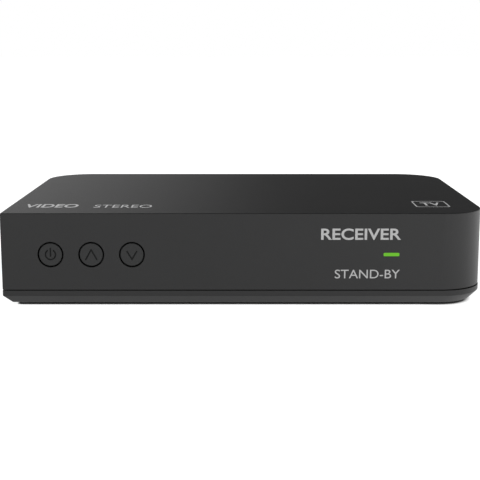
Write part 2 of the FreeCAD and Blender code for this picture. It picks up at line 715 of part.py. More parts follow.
def make_rear_panel():
    """The plate behind the cover's rear rim, cut out for each socket and slotted for air."""
    body = new_body("rear_panel")
    plate = sketch_on(body, "XZ", "panel_outer")
    draw_box(plate, "-panel_side", "bevel_top", "panel_side", "ceiling - panel_clearance")
    for x, z, radius in (("tuner_centre", "aerial_z", "thread_radius"),
                         ("audio_centre", "audio_z", "audio_radius"),
                         ("power_centre", "power_z", "power_nose")):
        draw_circle(plate, x, z, radius + " + hole_clearance")
    draw_polygon(plate, scart_outline("-hole_clearance"))
    draw_polygon(plate, hdmi_outline("-hole_clearance"))
    pad(body, plate, "panel_thickness")
    slot = sketch_on(body, "XZ", "panel_inner")
    first = "grille_centre - grille_pitch * (grille_count - 1) / 2"
    draw_rounded(slot, first + " - grille_width / 2",
                 "height - grille_drop - grille_length / 2",
                 first + " + grille_width / 2", "height - grille_drop + grille_length / 2",
                 ["(grille_width - slot_flat) / 2"] * 4)
    vent = pocket(body, slot, "panel_thickness")
    repeat(body, vent, "X", "grille_pitch * (grille_count - 1)", "grille_count")


def make_rubber_feet():
    body = new_body("rubber_feet")
    discs = sketch_on(body, "XY", "0")
    for x, y in foot_places():
        draw_circle(discs, x, y, "foot_radius")
    pad(body, discs, "foot_gap + foot_recess")
    dress_edges(body, "Chamfer", lies_at("z", "0"), "foot_bevel")


def make_screws(name, places, seat, length, upwards):
    """A group of pan head screws with cross recesses, pointing up or down from their seats."""
    body = new_body(name)
    shanks = sketch_on(body, "XY", seat)
    for x, y in places:
        draw_circle(shanks, x, y, "screw_radius")
    pad(body, shanks, length, backwards=not upwards)
    heads = sketch_on(body, "XY", seat)
    for x, y in places:
        draw_circle(heads, x, y, "screw_head_radius")
    pad(body, heads, "screw_head_height", backwards=upwards)
    sign = "-" if upwards else "+"
    face = "%s %s screw_head_height" % (seat, sign)
    dress_edges(body, "Fillet", lies_at("z", face), "screw_head_height / 3")
    for wide, deep in (("cross_span", "cross_width"), ("cross_width", "cross_span")):
        cross = sketch_on(body, "XY", face)
        for x, y in places:
            draw_box(cross, "%s - %s / 2" % (x, wide), "%s - %s / 2" % (y, deep),
                     "%s + %s / 2" % (x, wide), "%s + %s / 2" % (y, deep))
        pocket(body, cross, "cross_depth", backwards=upwards)


# ---- Buttons and the front board --------------------------------------------------------------


def cut_stand_by(sketch, x):
    """An open ring with an upright bar through its gap."""
    outer, inner = value("icon_radius + icon_stroke / 2"), value("icon_radius - icon_stroke / 2")
    centre, up = FreeCAD.Vector(value(x), value("button_z"), 0), FreeCAD.Vector(0, 0, 1)
    lean = value("icon_gap / icon_radius")
    start, stop = pi / 2 + lean, pi / 2 - lean + 2 * pi
    arcs = [Part.ArcOfCircle(Part.Circle(centre, up, radius), start, stop)
            for radius in (outer, inner)]
    big, small = [sketch.addGeometry(arc) for arc in arcs]
    for arc, radius in ((big, "icon_radius + icon_stroke / 2"),
                        (small, "icon_radius - icon_stroke / 2")):
        fix_point(sketch, arc, 3, x, "button_z")
        fix(sketch, "Radius", (arc,), radius)
    for end, side in ((1, "-"), (2, "+")):
        ends = [arcs[0].StartPoint, arcs[1].StartPoint] if end == 1 else [
            arcs[0].EndPoint, arcs[1].EndPoint]
        cap = sketch.addGeometry(Part.LineSegment(*ends))
        sketch.addConstraint(Sketcher.Constraint("Coincident", big, end, cap, 1))
        sketch.addConstraint(Sketcher.Constraint("Coincident", small, end, cap, 2))
        sketch.addConstraint(Sketcher.Constraint("Vertical", cap))
        fix(sketch, "DistanceX", (-1, 1, cap, 1), "%s %s icon_gap" % (x, side))
    draw_box(sketch, x + " - icon_stroke / 2", "button_z - bar_foot",
             x + " + icon_stroke / 2", "button_z + bar_top")


def cut_arrow(sketch, x, span, rise, sign):
    """A chevron of even line width that points up (sign +1) or down (sign -1)."""
    slope = "icon_stroke / 2 * sqrt(%s ^ 2 + %s ^ 2 / 4)" % (rise, span)
    beside, above = "%s / %s" % (slope, rise), "%s / %s * 2" % (slope, span)
    feet = "button_z - %d * %s / 2" % (sign, rise)
    tip = "button_z + %d * %s / 2" % (sign, rise)
    draw_polygon(sketch, (
        ("%s - %s / 2 - %s" % (x, span, beside), feet),
        (x, "%s + %d * %s" % (tip, sign, above)),
        ("%s + %s / 2 + %s" % (x, span, beside), feet),
        ("%s + %s / 2 - %s" % (x, span, beside), feet),
        (x, "%s - %d * %s" % (tip, sign, above)),
        ("%s - %s / 2 + %s" % (x, span, beside), feet)))


def make_button(number):
    """A round key: face with a cut symbol, stop flange behind the guide tube, and rear stem."""
    name, x = BUTTONS[number], button_x(number)
    body = new_body(name + "_button")
    cap = sketch_on(body, "XZ", "collar_end")
    draw_circle(cap, x, "button_z", "button_radius")
    pad(body, cap, "wall + collar_depth")
    dress_edges(body, "Fillet", lies_at("y", "front"), "button_round")
    flange = sketch_on(body, "XZ", "flange_end")
    draw_circle(flange, x, "button_z", "flange_radius")
    pad(body, flange, "flange_thickness")
    stem = sketch_on(body, "XZ", "stem_end")
    draw_circle(stem, x, "button_z", "stem_radius")
    pad(body, stem, "stem_length")
    symbol = sketch_on(body, "XZ", "front")
    if name == "power":
        cut_stand_by(symbol, x)
    elif name == "up":
        cut_arrow(symbol, x, "up_span", "up_rise", 1)
    else:
        cut_arrow(symbol, x, "down_span", "down_rise", -1)
    pocket(body, symbol, "icon_depth")


def make_plunger(number):
    keep(rod((button_x(number), "stem_end", "button_z"), "y", "plunger_radius",
             "plunger_reach + switch_cover + plunger_depth"), BUTTONS[number] + "_plunger")


def make_switches():
    """The three push switches: moulded bases on the front board and their metal covers."""
    bases, covers = [], []
    for number in range(len(BUTTONS)):
        x = button_x(number)
        well = "plunger_depth + button_travel + plunger_clearance"
        base = block((x + " - switch_side / 2", "switch_face + switch_cover",
                      "button_z - switch_side / 2"),
                     ("switch_side", "switch_depth", "switch_side"))
        bases.append(minus(base, rod((x, "switch_face + switch_cover", "button_z"), "y",
                                     "plunger_radius + plunger_clearance", well)))
        sheet = block((x + " - switch_side / 2", "switch_face", "button_z - switch_side / 2"),
                      ("switch_side", "switch_cover", "switch_side"))
        covers.append(minus(sheet, rod((x, "switch_face", "button_z"), "y",
                                       "plunger_radius + plunger_clearance", "switch_cover")))
    keep(group(bases), "switch_bases")
    keep(group(covers), "switch_covers")


def make_light_guide():
    """The clear piece that fills the slot in the front and leads to the diode behind it."""
    slot = block(("lamp_x - lamp_width / 2", "front", "lamp_z - lamp_height / 2"),
                 ("lamp_width", "wall", "lamp_height"))
    collar = block(("lamp_x - lamp_width / 2 - lamp_flange", "inside",
                    "lamp_z - lamp_height / 2 - lamp_flange"),
                   ("lamp_width + 2 * lamp_flange", "lamp_flange_thickness",
                    "lamp_height + 2 * lamp_flange"))
    pipe = block(("lamp_x - led_width / 2", "inside", "lamp_z - lamp_height / 2"),
                 ("led_width", "front_board_y - led_height - led_gap - inside", "lamp_height"))
    keep(joined(slot, collar, pipe), "light_guide")


def make_status_led():
    keep(chip("lamp_x", "front_board_y - led_height / 2", "lamp_z - led_height / 2",
              "led_width", "led_height", "led_height"), "status_led")


def make_infrared_receiver():
    """A moulded block with a round lens that looks through the thinned patch of the front."""
    base = block(("receiver_x - receiver_side / 2", "front_board_y - receiver_depth",
                  "lamp_z - receiver_side / 2"),
                 ("receiver_side", "receiver_depth", "receiver_side"))
    dome = doc.addObject("Part::Sphere", "dome")
    dome.setExpression("Radius", bound("receiver_dome"))
    place(dome, ("receiver_x", "front_board_y - receiver_depth", "lamp_z"))
    keep(joined(base, dome), "infrared_receiver")


def pin_places():
    return ["pin_pitch * (%d - %d / 2)" % (number, PIN_COUNT - 1) for number in range(PIN_COUNT)]


def make_front_board():
    board = block(("front_board_left", "front_board_y", "front_board_foot"),
                  ("front_board_right - front_board_left", "front_board_thickness",
                   "front_board_height"))
    holes = [rod((x, "front_board_y", "pin_z"), "y", "pin_hole", "front_board_thickness")
             for x in pin_places()]
    keep(minus(board, *holes), "front_board")


def make_board_link():
    """Bent pins that tie the front board to the main board, and the strip that holds them."""
    half = "pin_side / 2"
    pins, holes = [], []
    for x in pin_places():
        corner = ("%s - %s" % (x, half), "front_board_y - pin_tail", "pin_z - " + half)
        level = block(corner, ("pin_side", "pin_y + %s - front_board_y + pin_tail" % half,
                               "pin_side"))
        drop = block(("%s - %s" % (x, half), "pin_y - " + half, "board_foot - pin_tail"),
                     ("pin_side", "pin_side", "pin_z - board_foot + pin_tail"))
        pins.append(joined(level, drop))
        holes.append(block(("%s - %s" % (x, half), "front_board_rear", "pin_z - " + half),
                           ("pin_side", "strip_side", "pin_side")))
    strip = block(("-pin_pitch * %d / 2" % PIN_COUNT, "front_board_rear", "board_top"),
                  ("pin_pitch * %d" % PIN_COUNT, "strip_side", "strip_side"))
    keep(group(pins), "link_pins")
    keep(minus(strip, *holes), "link_strip")


# ---- Main board -------------------------------------------------------------------------------


def board_screw_places():
    return [(side + "board_screw_x", y) for y in ("board_screw_y", "board_screw_rear_y")
            for side in ("-", "")]


def make_main_board():
    board = block(("-board_right", "board_front", "board_foot"),
                  ("2 * board_right", "board_rear - board_front", "board_thickness"))
    holes = [rod((x, y, "board_foot"), "z", "screw_radius + screw_slack", "board_thickness")
             for x, y in board_screw_places()]
    holes += [rod((x, "pin_y", "board_foot"), "z", "pin_hole", "board_thickness")
              for x in pin_places()]
    keep(minus(board, *holes), "main_board")


def make_processor():
    """The main chip with its heat pad and finned heat sink."""
    keep(chip("processor_x", "processor_cy", "board_top", "processor_side", "processor_side",
              "processor_height"), "processor")
    keep(chip("processor_x", "processor_cy", "processor_top", "pad_side", "pad_side",
              "pad_thickness"), "heat_pad")
    body = new_body("heat_sink")
    plate = sketch_on(body, "XY", "sink_foot")
    edges = ("processor_x - sink_side / 2", "processor_cy - sink_side / 2",
             "processor_x + sink_side / 2", "processor_cy + sink_side / 2")
    draw_box(plate, *edges)
    pad(body, plate, "sink_base")
    fin = sketch_on(body, "XY", "sink_foot + sink_base")
    draw_box(fin, edges[0], edges[1], edges[0] + " + fin_thickness", edges[3])
    first = pad(body, fin, "sink_height - sink_base")
    repeat(body, first, "X", "sink_side - fin_thickness", "fin_count")


def make_board_chips():
    """Memory, program store, quartz can and the rows of small components."""
    memory_x = "processor_x - processor_side / 2 - memory_gap - memory_width / 2"
    keep(group([chip(memory_x, "processor_cy + %d * memory_step / 2" % side, "board_top",
                     "memory_width", "memory_depth", "memory_height") for side in (-1, 1)]),
         "memory_chips")
    store_x = "processor_x + sink_side / 2 + memory_gap"
    keep(chip(store_x, "processor_cy - memory_step / 2", "board_top", "flash_width",
              "flash_depth", "flash_height"), "program_store")
    keep(chip(store_x, "processor_cy", "board_top", "crystal_width", "crystal_depth",
              "crystal_height"), "crystal")
    rows = (("processor_x", "processor_cy - sink_side / 2 - chip_step"),
            ("tuner_centre", "board_screw_rear_y - screw_head_radius - chip_step"))
    spots = [("%s + chip_step * (%d - 7 / 2)" % (x, number), y)
             for x, y in rows for number in range(8)]
    keep(group([chip(x, y, "board_top", "chip_width", "chip_length", "chip_height")
                for x, y in spots]), "chip_components")


def make_power_supply():
    """Regulators, inductors and upright electrolytic cans beside the power inlet."""
    sides = (-1, 1)
    places = ["processor_cy + %d * converter_step / 2" % side for side in sides]
    keep(group([chip("regulator_x", y, "board_top", "regulator_width", "regulator_depth",
                     "regulator_height") for y in places]), "voltage_regulators")
    keep(group([chip("inductor_x", y, "board_top", "inductor_side", "inductor_side",
                     "inductor_height") for y in places]), "power_inductors")
    cans = [rod(("capacitor_x + %d * capacitor_step / 2" % across,
                 "board_screw_rear_y + capacitor_y + %d * capacitor_step / 2" % along, "board_top"),
                "z", "capacitor_radius", "capacitor_height")
            for across in sides for along in sides]
    keep(group(cans), "filter_capacitors")


# ---- Sockets ----------------------------------------------------------------------------------


def make_tuner():
    """The screening can round the tuner chip: a folded frame and a lid with an inner rim."""
    sheet = "tuner_sheet"
    outside = block(("tuner_left", "tuner_front", "board_top"),
                    ("tuner_width", "tuner_depth", "tuner_height - " + sheet))
    inside = block(("tuner_left + " + sheet, "tuner_front + " + sheet, "board_top"),
                   ("tuner_width - 2 * " + sheet, "tuner_depth - 2 * " + sheet, "tuner_height"))
    mouth = rod(("tuner_centre", "board_rear - 2 * " + sheet, "aerial_z"), "y",
                "thread_radius - thread_flank", "4 * " + sheet)
    keep(minus(outside, inside, mouth), "tuner_frame")
    plate = block(("tuner_left", "tuner_front", "tuner_top - " + sheet),
                  ("tuner_width", "tuner_depth", sheet))
    rim = minus(block(("tuner_left + " + sheet, "tuner_front + " + sheet,
                       "tuner_top - tuner_skirt - " + sheet),
                      ("tuner_width - 2 * " + sheet, "tuner_depth - 2 * " + sheet,
                       "tuner_skirt")),
                block(("tuner_left + 2 * " + sheet, "tuner_front + 2 * " + sheet,
                       "tuner_top - tuner_skirt - " + sheet),
                      ("tuner_width - 4 * " + sheet, "tuner_depth - 4 * " + sheet,
                       "tuner_skirt")))
    keep(joined(plate, rim), "tuner_lid")
    keep(chip("tuner_centre", "tuner_front + tuner_depth / 2", "board_top", "tuner_chip_side",
              "tuner_chip_side", "tuner_chip_height"), "tuner_chip")


def make_aerial_socket():
    """The threaded aerial connector with its insulator, contact, washer and nut."""
    wall_inside = "board_rear - tuner_sheet"
    bore = "thread_radius - barrel_wall"
    x, z = "tuner_centre", "aerial_z"
    nut_end = "panel_outer + washer_thickness + nut_thickness"
    neck = tube((x, wall_inside, z), "y", "thread_radius - thread_flank", bore,
                "%s - (%s)" % (nut_end, wall_inside))
    barrel = tube((x, nut_end, z), "y", "thread_radius", bore, "aerial_end - (%s)" % nut_end)
    shoulder = tube((x, wall_inside + " - shoulder_thickness", z), "y", "shoulder_radius", bore,
                    "shoulder_thickness")
    keep(joined(neck, barrel, shoulder), "aerial_barrel")
    start = wall_inside + " - shoulder_thickness"
    keep(tube((x, start, z), "y", bore, "contact_radius",
              "aerial_end - aerial_recess - (%s)" % start), "aerial_insulator")
    keep(tube((x, start, z), "y", "contact_radius", "contact_bore",
              "aerial_end - aerial_recess - contact_bore - (%s)" % start), "aerial_contact")
    hole = "thread_radius - thread_flank + thread_clearance"
    keep(tube((x, "panel_outer", z), "y", "washer_radius", hole, "washer_thickness"),
         "aerial_washer")
    seat = (x, "panel_outer + washer_thickness", z)
    keep(minus(prism(seat, "y", "nut_radius", "nut_thickness"),
               rod(seat, "y", hole, "nut_thickness")), "aerial_nut")


def bevelled(x0, z0, x1, z1, left_bevel, right_bevel, inset):
    """An outline whose lower corners are cut at 45 degrees, moved inwards, or outwards if negative."""
    shrink = " - (2 - sqrt(2)) * (%s)" % inset
    x0, z0 = "%s + (%s)" % (x0, inset), "%s + (%s)" % (z0, inset)
    x1, z1 = "%s - (%s)" % (x1, inset), "%s - (%s)" % (z1, inset)
    corners = []
    if left_bevel:
        corners += [(x0, "%s + %s%s" % (z0, left_bevel, shrink)),
                    ("%s + %s%s" % (x0, left_bevel, shrink), z0)]
    else:
        corners += [(x0, z0)]
    if right_bevel:
        corners += [("%s - (%s%s)" % (x1, right_bevel, shrink), z0),
                    (x1, "%s + %s%s" % (z0, right_bevel, shrink))]
    else:
        corners += [(x1, z0)]
    return corners + [(x1, z1), (x0, z1)]


def scart_outline(inset):
    return bevelled("scart_centre - scart_width / 2", "board_top",
                    "scart_centre + scart_width / 2", "board_top + scart_height",
                    "scart_bevel", "", inset)


def scart_slot(row):
    """Lowest corner, in x and z, of the first contact slot of a row (-1 below, +1 above)."""
    return ("scart_centre - scart_pitch * 9 / 2 - scart_slot_width / 2",
            "board_top + scart_height / 2 + %d * scart_row_gap / 2 - scart_slot_height / 2" % row)


def make_scart_socket():
    """The television socket: sheet shield, moulding with a slotted tongue, and contacts."""
    shield = new_body("scart_shield")
    ring = sketch_on(shield, "XZ", "socket_end")
    draw_polygon(ring, scart_outline("0"))
    draw_polygon(ring, scart_outline("scart_sheet"))
    pad(shield, ring, "scart_depth")

    body = new_body("scart_moulding")
    base = sketch_on(body, "XZ", "socket_end - scart_hollow")
    draw_polygon(base, scart_outline("scart_sheet"))
    pad(body, base, "scart_depth - scart_hollow")
    tongue = sketch_on(body, "XZ", "socket_end - scart_sheet")
    draw_polygon(tongue, scart_outline("scart_sheet + scart_ring"))
    pad(body, tongue, "scart_hollow - scart_sheet")
    for row in (-1, 1):
        slot = sketch_on(body, "XZ", "socket_end - scart_sheet")
        x, z = scart_slot(row)
        draw_box(slot, x, z, x + " + scart_slot_width", z + " + scart_slot_height")
        first = pocket(body, slot, "scart_hollow - 2 * scart_sheet", backwards=True)
        repeat(body, first, "X", "scart_pitch * 9", "10")

    blades = []
    for row in (-1, 1):
        x, z = scart_slot(row)
        for number in range(10):
            left = "%s + (scart_slot_width - scart_blade) / 2 + scart_pitch * %d" % (x, number)
            blades.append(block((left, "socket_end - scart_hollow + scart_sheet", z),
                                ("scart_blade", "scart_hollow - 3 * scart_sheet",
                                 "scart_slot_height")))
    keep(group(blades), "scart_contacts")


def hdmi_outline(inset):
    return bevelled("hdmi_centre - hdmi_width / 2", "board_top", "hdmi_centre + hdmi_width / 2",
                    "board_top + hdmi_height", "hdmi_bevel", "hdmi_bevel", inset)


def make_hdmi_socket():
    """The digital picture socket: a folded shell round a moulding with a flat tongue."""
    shell = new_body("hdmi_shell")
    ring = sketch_on(shell, "XZ", "socket_end")
    draw_polygon(ring, hdmi_outline("0"))
    draw_polygon(ring, hdmi_outline("hdmi_sheet"))
    pad(shell, ring, "hdmi_depth")
    body = new_body("hdmi_moulding")
    base = sketch_on(body, "XZ", "socket_end - hdmi_depth + hdmi_back")
    draw_polygon(base, hdmi_outline("hdmi_sheet"))
    pad(body, base, "hdmi_back")
    tongue = sketch_on(body, "XZ", "socket_end - 2 * hdmi_sheet")
    middle = "board_top + hdmi_height / 2"
    draw_box(tongue, "hdmi_centre - hdmi_tongue_width / 2", middle + " - hdmi_tongue_height / 2",
             "hdmi_centre + hdmi_tongue_width / 2", middle + " + hdmi_tongue_height / 2")
    pad(body, tongue, "hdmi_depth - hdmi_back - 2 * hdmi_sheet")


def make_audio_socket():
    """The digital sound socket: body, outer ring, insulator and centre contact."""
    x, z = "audio_centre", "audio_z"
    seat, root = "board_rear - audio_depth / 3", "audio_radius - audio_neck"
    widens = "panel_outer + audio_shoulder"
    lining = "audio_radius - audio_ring_wall"
    body = block((x + " - audio_width / 2", "board_rear - audio_depth", "board_top"),
                 ("audio_width", "audio_depth", "audio_height"))
    keep(minus(body, rod((x, seat, z), "y", root, "audio_depth / 3")), "audio_body")
    keep(joined(tube((x, seat, z), "y", root, lining, "%s - (%s)" % (widens, seat)),
                tube((x, widens, z), "y", "audio_radius", lining,
                     "audio_end - (%s)" % widens)), "audio_ring")
    keep(tube((x, seat, z), "y", lining, "audio_bore + audio_contact_wall",
              "audio_end - audio_recess - (%s)" % seat), "audio_insulator")
    keep(tube((x, seat, z), "y", "audio_bore + audio_contact_wall", "audio_bore",
              "audio_end - audio_recess - audio_contact_wall - (%s)" % seat), "audio_contact")


def make_power_inlet():
    """The direct current inlet: a moulded body with a round mouth, and its centre pin."""
    x, z = "power_centre", "power_z"
    body = block((x + " - power_width / 2", "board_rear - power_depth", "board_top"),
                 ("power_width", "power_depth", "power_height"))
    nose = rod((x, "board_rear", z), "y", "power_nose", "socket_end - board_rear")
    bottom = "socket_end - power_bore_depth"
    bore = rod((x, bottom, z), "y", "power_bore", "power_bore_depth")
    keep(minus(joined(body, nose), bore), "power_inlet")
    keep(rod((x, bottom, z), "y", "power_pin", "power_bore_depth - power_pin"), "power_pin")


# ---- Assembly ---------------------------------------------------------------------------------


def make_all():
    make_top_cover()
    make_bottom_tray()
    make_rear_panel()
    make_rubber_feet()
    make_screws("case_screws", post_places(), "head_seat", "case_screw_length", True)
    for number in range(len(BUTTONS)):
        make_button(number)
        make_plunger(number)
    make_switches()
    make_light_guide()
    make_status_led()
    make_infrared_receiver()
    make_front_board()
    make_board_link()
    make_main_board()
    make_screws("board_screws", board_screw_places(), "board_top", "board_screw_length", False)
    make_processor()
    make_board_chips()
    make_power_supply()
    make_tuner()
    make_aerial_socket()
    make_scart_socket()
    make_hdmi_socket()
    make_audio_socket()
    make_power_inlet()


def check_all():
    """Stop if any object failed to build or any sub-part has no sound solid."""
    for thing in doc.Objects:
        if "Invalid" in thing.State or "Error" in thing.State:
            raise ValueError("%s (%s) did not build" % (thing.Label, thing.Name))
    for thing in SUB_PARTS:
        shape = thing.Shape
        if shape.isNull() or not shape.isValid() or not shape.Solids:
            raise ValueError("%s is not a sound solid" % thing.Label)


make_all()
doc.recompute()
check_all()
os.makedirs("parts", exist_ok=True)
for thing in SUB_PARTS:
    thing.Shape.exportStep(os.path.join("parts", thing.Label + ".step"))
    print("%-20s %3d solids %10.1f mm3" % (thing.Label, len(thing.Shape.Solids),
                                           thing.Shape.Volume))
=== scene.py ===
import bmesh
import bpy
import math
import numpy as np
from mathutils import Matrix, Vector


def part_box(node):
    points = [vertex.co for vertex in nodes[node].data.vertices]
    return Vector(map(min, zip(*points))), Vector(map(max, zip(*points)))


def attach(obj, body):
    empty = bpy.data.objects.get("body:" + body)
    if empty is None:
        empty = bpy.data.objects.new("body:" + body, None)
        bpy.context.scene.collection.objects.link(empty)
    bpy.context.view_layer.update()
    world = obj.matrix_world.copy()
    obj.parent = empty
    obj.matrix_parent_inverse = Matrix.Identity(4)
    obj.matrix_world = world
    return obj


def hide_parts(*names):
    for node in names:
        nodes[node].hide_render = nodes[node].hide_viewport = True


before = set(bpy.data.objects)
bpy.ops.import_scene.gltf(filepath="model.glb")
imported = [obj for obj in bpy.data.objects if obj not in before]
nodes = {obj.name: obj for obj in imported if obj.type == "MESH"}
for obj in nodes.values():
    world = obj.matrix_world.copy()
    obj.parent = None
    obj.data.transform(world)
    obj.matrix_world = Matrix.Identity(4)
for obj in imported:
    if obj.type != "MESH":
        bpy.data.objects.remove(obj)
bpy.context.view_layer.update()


# ---- Top cover ----------------------------------------------------------------------------------
# The roof and four walls of the housing, one moulding of black ABS with a fine spark-eroded grain.
# One corner of the plan is nearly sharp and three are round. It drops over the tray's lip, and four
# screws from below pull it down.

mm = 0.001
cover_low, cover_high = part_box("top_cover")
tray_low, tray_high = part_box("bottom_tray")
left, front, right, rear = cover_low.x, cover_low.y, cover_high.x, cover_high.y
cover_foot, cover_top = cover_low.z, cover_high.z
wall, roof = 2.2 * mm, 2.0 * mm
plan_corners = ((0.6, 6), (16.1, 28), (18.0, 28), (17.5, 28))


def plan(inset, height, corners=plan_corners):
    """One ring of the housing's outline, pulled in by inset and lying at height: four arcs, going
    anticlockwise from the front left, corner centre + radius * (cos a, sin a). A radius shrinks with
    the inset, to no less than 0.1 mm, and every ring has the same number of points."""
    reach = [(left + inset, front + inset), (right - inset, front + inset),
             (right - inset, rear - inset), (left + inset, rear - inset)]
    inward = ((1, 1), (-1, 1), (-1, -1), (1, -1))
    arcs = []
    for number, ((x, y), (sx, sy), (radius, steps)) in enumerate(zip(reach, inward, corners)):
        r = max(radius * mm - inset, 0.1 * mm)
        a = math.pi * (1 + number / 2) + np.linspace(0, math.pi / 2, steps)
        arcs.append(np.stack([x + sx * r + r * np.cos(a), y + sy * r + r * np.sin(a),
                              np.full(steps, height)], 1))
    return np.concatenate(arcs)


def eased(corners, steps=5):
    """A section through corners (inset, height, reach): each corner with a reach becomes the arc of a
    parabola that leaves its two sides tangentially, that far from the corner."""
    corners = np.array(corners, float)
    t = np.linspace(0, 1, steps)[:, None]
    points = [corners[:1, :2]]
    for before, (x, y, reach), after in zip(corners, corners[1:], corners[2:]):
        corner = np.array((x, y))
        sides = [(side[:2] - corner) / np.linalg.norm(side[:2] - corner) for side in (before, after)]
        start, end = (corner + reach * side for side in sides)
        points.append((1 - t) ** 2 * start + 2 * t * (1 - t) * corner + t ** 2 * end if reach
                      else corner[None])
    return np.concatenate(points + [corners[-1:, :2]])


def skin(name, rings, capped=True):
    """Closed mesh over an array (rings, points, 3). Each ring closes on itself, quads join it to the
    next ring, and flat faces fill the first and the last ring, or else the last joins the first."""
    rings = np.asarray(rings)
    count, around = rings.shape[:2]
    ring = np.arange(count - 1 if capped else count)[:, None]
    point = np.arange(around)[None, :]
    here, there = ring * around, (ring + 1) % count * around
    after = (point + 1) % around
    quads = np.stack([here + point, here + after, there + after, there + point], -1).reshape(-1, 4)
    faces = quads.tolist()
    if capped:
        faces += [list(range(around))[::-1], list(range((count - 1) * around, count * around))]
    mesh = bpy.data.meshes.new(name)
    mesh.from_pydata(rings.reshape(-1, 3), [], faces)
    mesh.update()
    piece = bpy.data.objects.new(name, mesh)
    bpy.context.scene.collection.objects.link(piece)
    return piece


def turned(profile, centre, axis, around=64):
    """Rings of a turned shape. The point (along, radius) at angle a lies at
    centre + along * w + radius * (cos a * u + sin a * v), where w is the axis and u, v, w are
    right-handed."""
    along, radius = np.asarray(profile, float).T
    a = np.linspace(0, 2 * math.pi, around, endpoint=False)
    points = np.zeros((len(along), around, 3))
    points[..., axis] = along[:, None]
    points[..., (axis + 1) % 3] = radius[:, None] * np.cos(a)
    points[..., (axis + 2) % 3] = radius[:, None] * np.sin(a)
    return points + np.array(centre)


def slot_cutter(x, z, half_width, half_height, flare, depth):
    """Rings of a round-ended slot through the front wall: a stadium outline that widens towards the
    face along a quarter round, out by flare * (1 - sin b) at a depth of flare * (1 - cos b)."""
    a = np.linspace(0, 2 * math.pi, 48, endpoint=False)
    straight = half_width - half_height
    rings = []
    for b in np.linspace(0, math.pi / 2, 5)[::-1]:
        grow, y = flare * (1 - math.sin(b)), flare * (1 - math.cos(b))
        rings.append((half_height + grow, y))
    rings = [(half_height, depth)] + rings + [(half_height + flare, -1.0 * mm)]
    return np.array([np.stack([x + np.sign(np.cos(a)) * straight + r * np.cos(a),
                               np.full(48, front + y), z + r * np.sin(a)], 1) for r, y in rings])


def fit_out(piece, tools, operation="DIFFERENCE"):
    """Cuts the tools out of the piece, or joins them to it, with the exact Boolean, and drops them."""
    for tool in tools:
        modifier = piece.modifiers.new("cut", "BOOLEAN")
        modifier.operation, modifier.solver, modifier.object = operation, "EXACT", tool
    bpy.context.view_layer.update()
    finished = bpy.data.meshes.new_from_object(
        piece.evaluated_get(bpy.context.evaluated_depsgraph_get()))
    piece.modifiers.clear()
    piece.data = finished
    for tool in tools:
        bpy.data.objects.remove(tool)


def smooth(piece, angle=32):
    """Shades the rounds smooth and keeps flats flat and corners above the angle sharp."""
    piece.data.shade_smooth()
    piece.data.set_sharp_from_angle(angle=math.radians(angle))
    weights = piece.modifiers.new("flats", "WEIGHTED_NORMAL")
    weights.keep_sharp = True


def block_cutter(low, high):
    """Rings of a plain upright block between two corners."""
    square = np.array([(low[0], low[1]), (high[0], low[1]), (high[0], high[1]), (low[0], high[1])])
    return np.array([np.column_stack([square, np.full(4, z)]) for z in (low[2], high[2])])


cover_section = eased(((wall, cover_top - roof, 0), (wall, cover_foot, 0), (0, cover_foot, 0.12 * mm),
                       (0, cover_top, 0.5 * mm), (2 * mm, cover_top, 0)), 7)
cover = skin("cover_shell", [plan(inset, height) for inset, height in cover_section])

button_x = [sum((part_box(key + "_button")[i].x for i in (0, 1))) / 2 for key in ("power", "up", "down")]
button_z = (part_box("power_button")[0].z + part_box("power_button")[1].z) / 2
hole_radius, hole_rim, collar_wall, collar_end = 4.45 * mm, 0.15 * mm, 1.5 * mm, 4.2 * mm
collars, holes = [], []
for x in button_x:
    collars.append(skin("collar", turned([(1.0 * mm, hole_radius + collar_wall),
                                          (collar_end, hole_radius + collar_wall)],
                                         (x, front, button_z), 1)))
    edge = [(hole_rim * (1 - math.cos(b)), hole_radius + hole_rim * (1 - math.sin(b)))
            for b in np.linspace(0, math.pi / 2, 5)]
    hole = [(-1.0 * mm, hole_radius + hole_rim)] + edge + [(5.0 * mm, hole_radius)]
    holes.append(skin("hole", turned(hole, (x, front, button_z), 1, 96)))
lamp_low, lamp_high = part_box("light_guide")
lamp_x, lamp_z = (lamp_low.x + lamp_high.x) / 2, (lamp_low.z + lamp_high.z) / 2
lamp_width, lamp_height = 5.4 * mm, 1.14 * mm
lamp_slot = slot_cutter(lamp_x, lamp_z, lamp_width / 2 + 0.05 * mm, lamp_height / 2 + 0.05 * mm,
                        0.08 * mm, 4.0 * mm)
panel_low, panel_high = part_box("rear_panel")
opening = block_cutter((panel_low.x + 2 * mm, rear - 5 * mm, cover_foot - 1 * mm),
                       (panel_high.x - 2 * mm, rear + 1 * mm, cover_top - 4.5 * mm))
fit_out(cover, collars, "UNION")
fit_out(cover, holes + [skin("slot", lamp_slot), skin("opening", opening)])
smooth(cover)


def maker(tree):
    """A maker of nodes in a tree: make(kind, inputs, settings) sets each input from a number or links
    it from a socket."""
    def make(kind, inputs=None, **settings):
        node = tree.nodes.new(kind)
        for key, setting in settings.items():
            setattr(node, key, setting)
        for key, source in (inputs or {}).items():
            if isinstance(source, bpy.types.NodeSocket):
                tree.links.new(source, node.inputs[key])
            else:
                node.inputs[key].default_value = source
        return node
    return make


def graph(name):
    """A new material, its Principled shader, and the maker of its nodes."""
    material = bpy.data.materials.new(name)
    material.use_nodes = True
    return material, material.node_tree.nodes["Principled BSDF"], maker(material.node_tree)


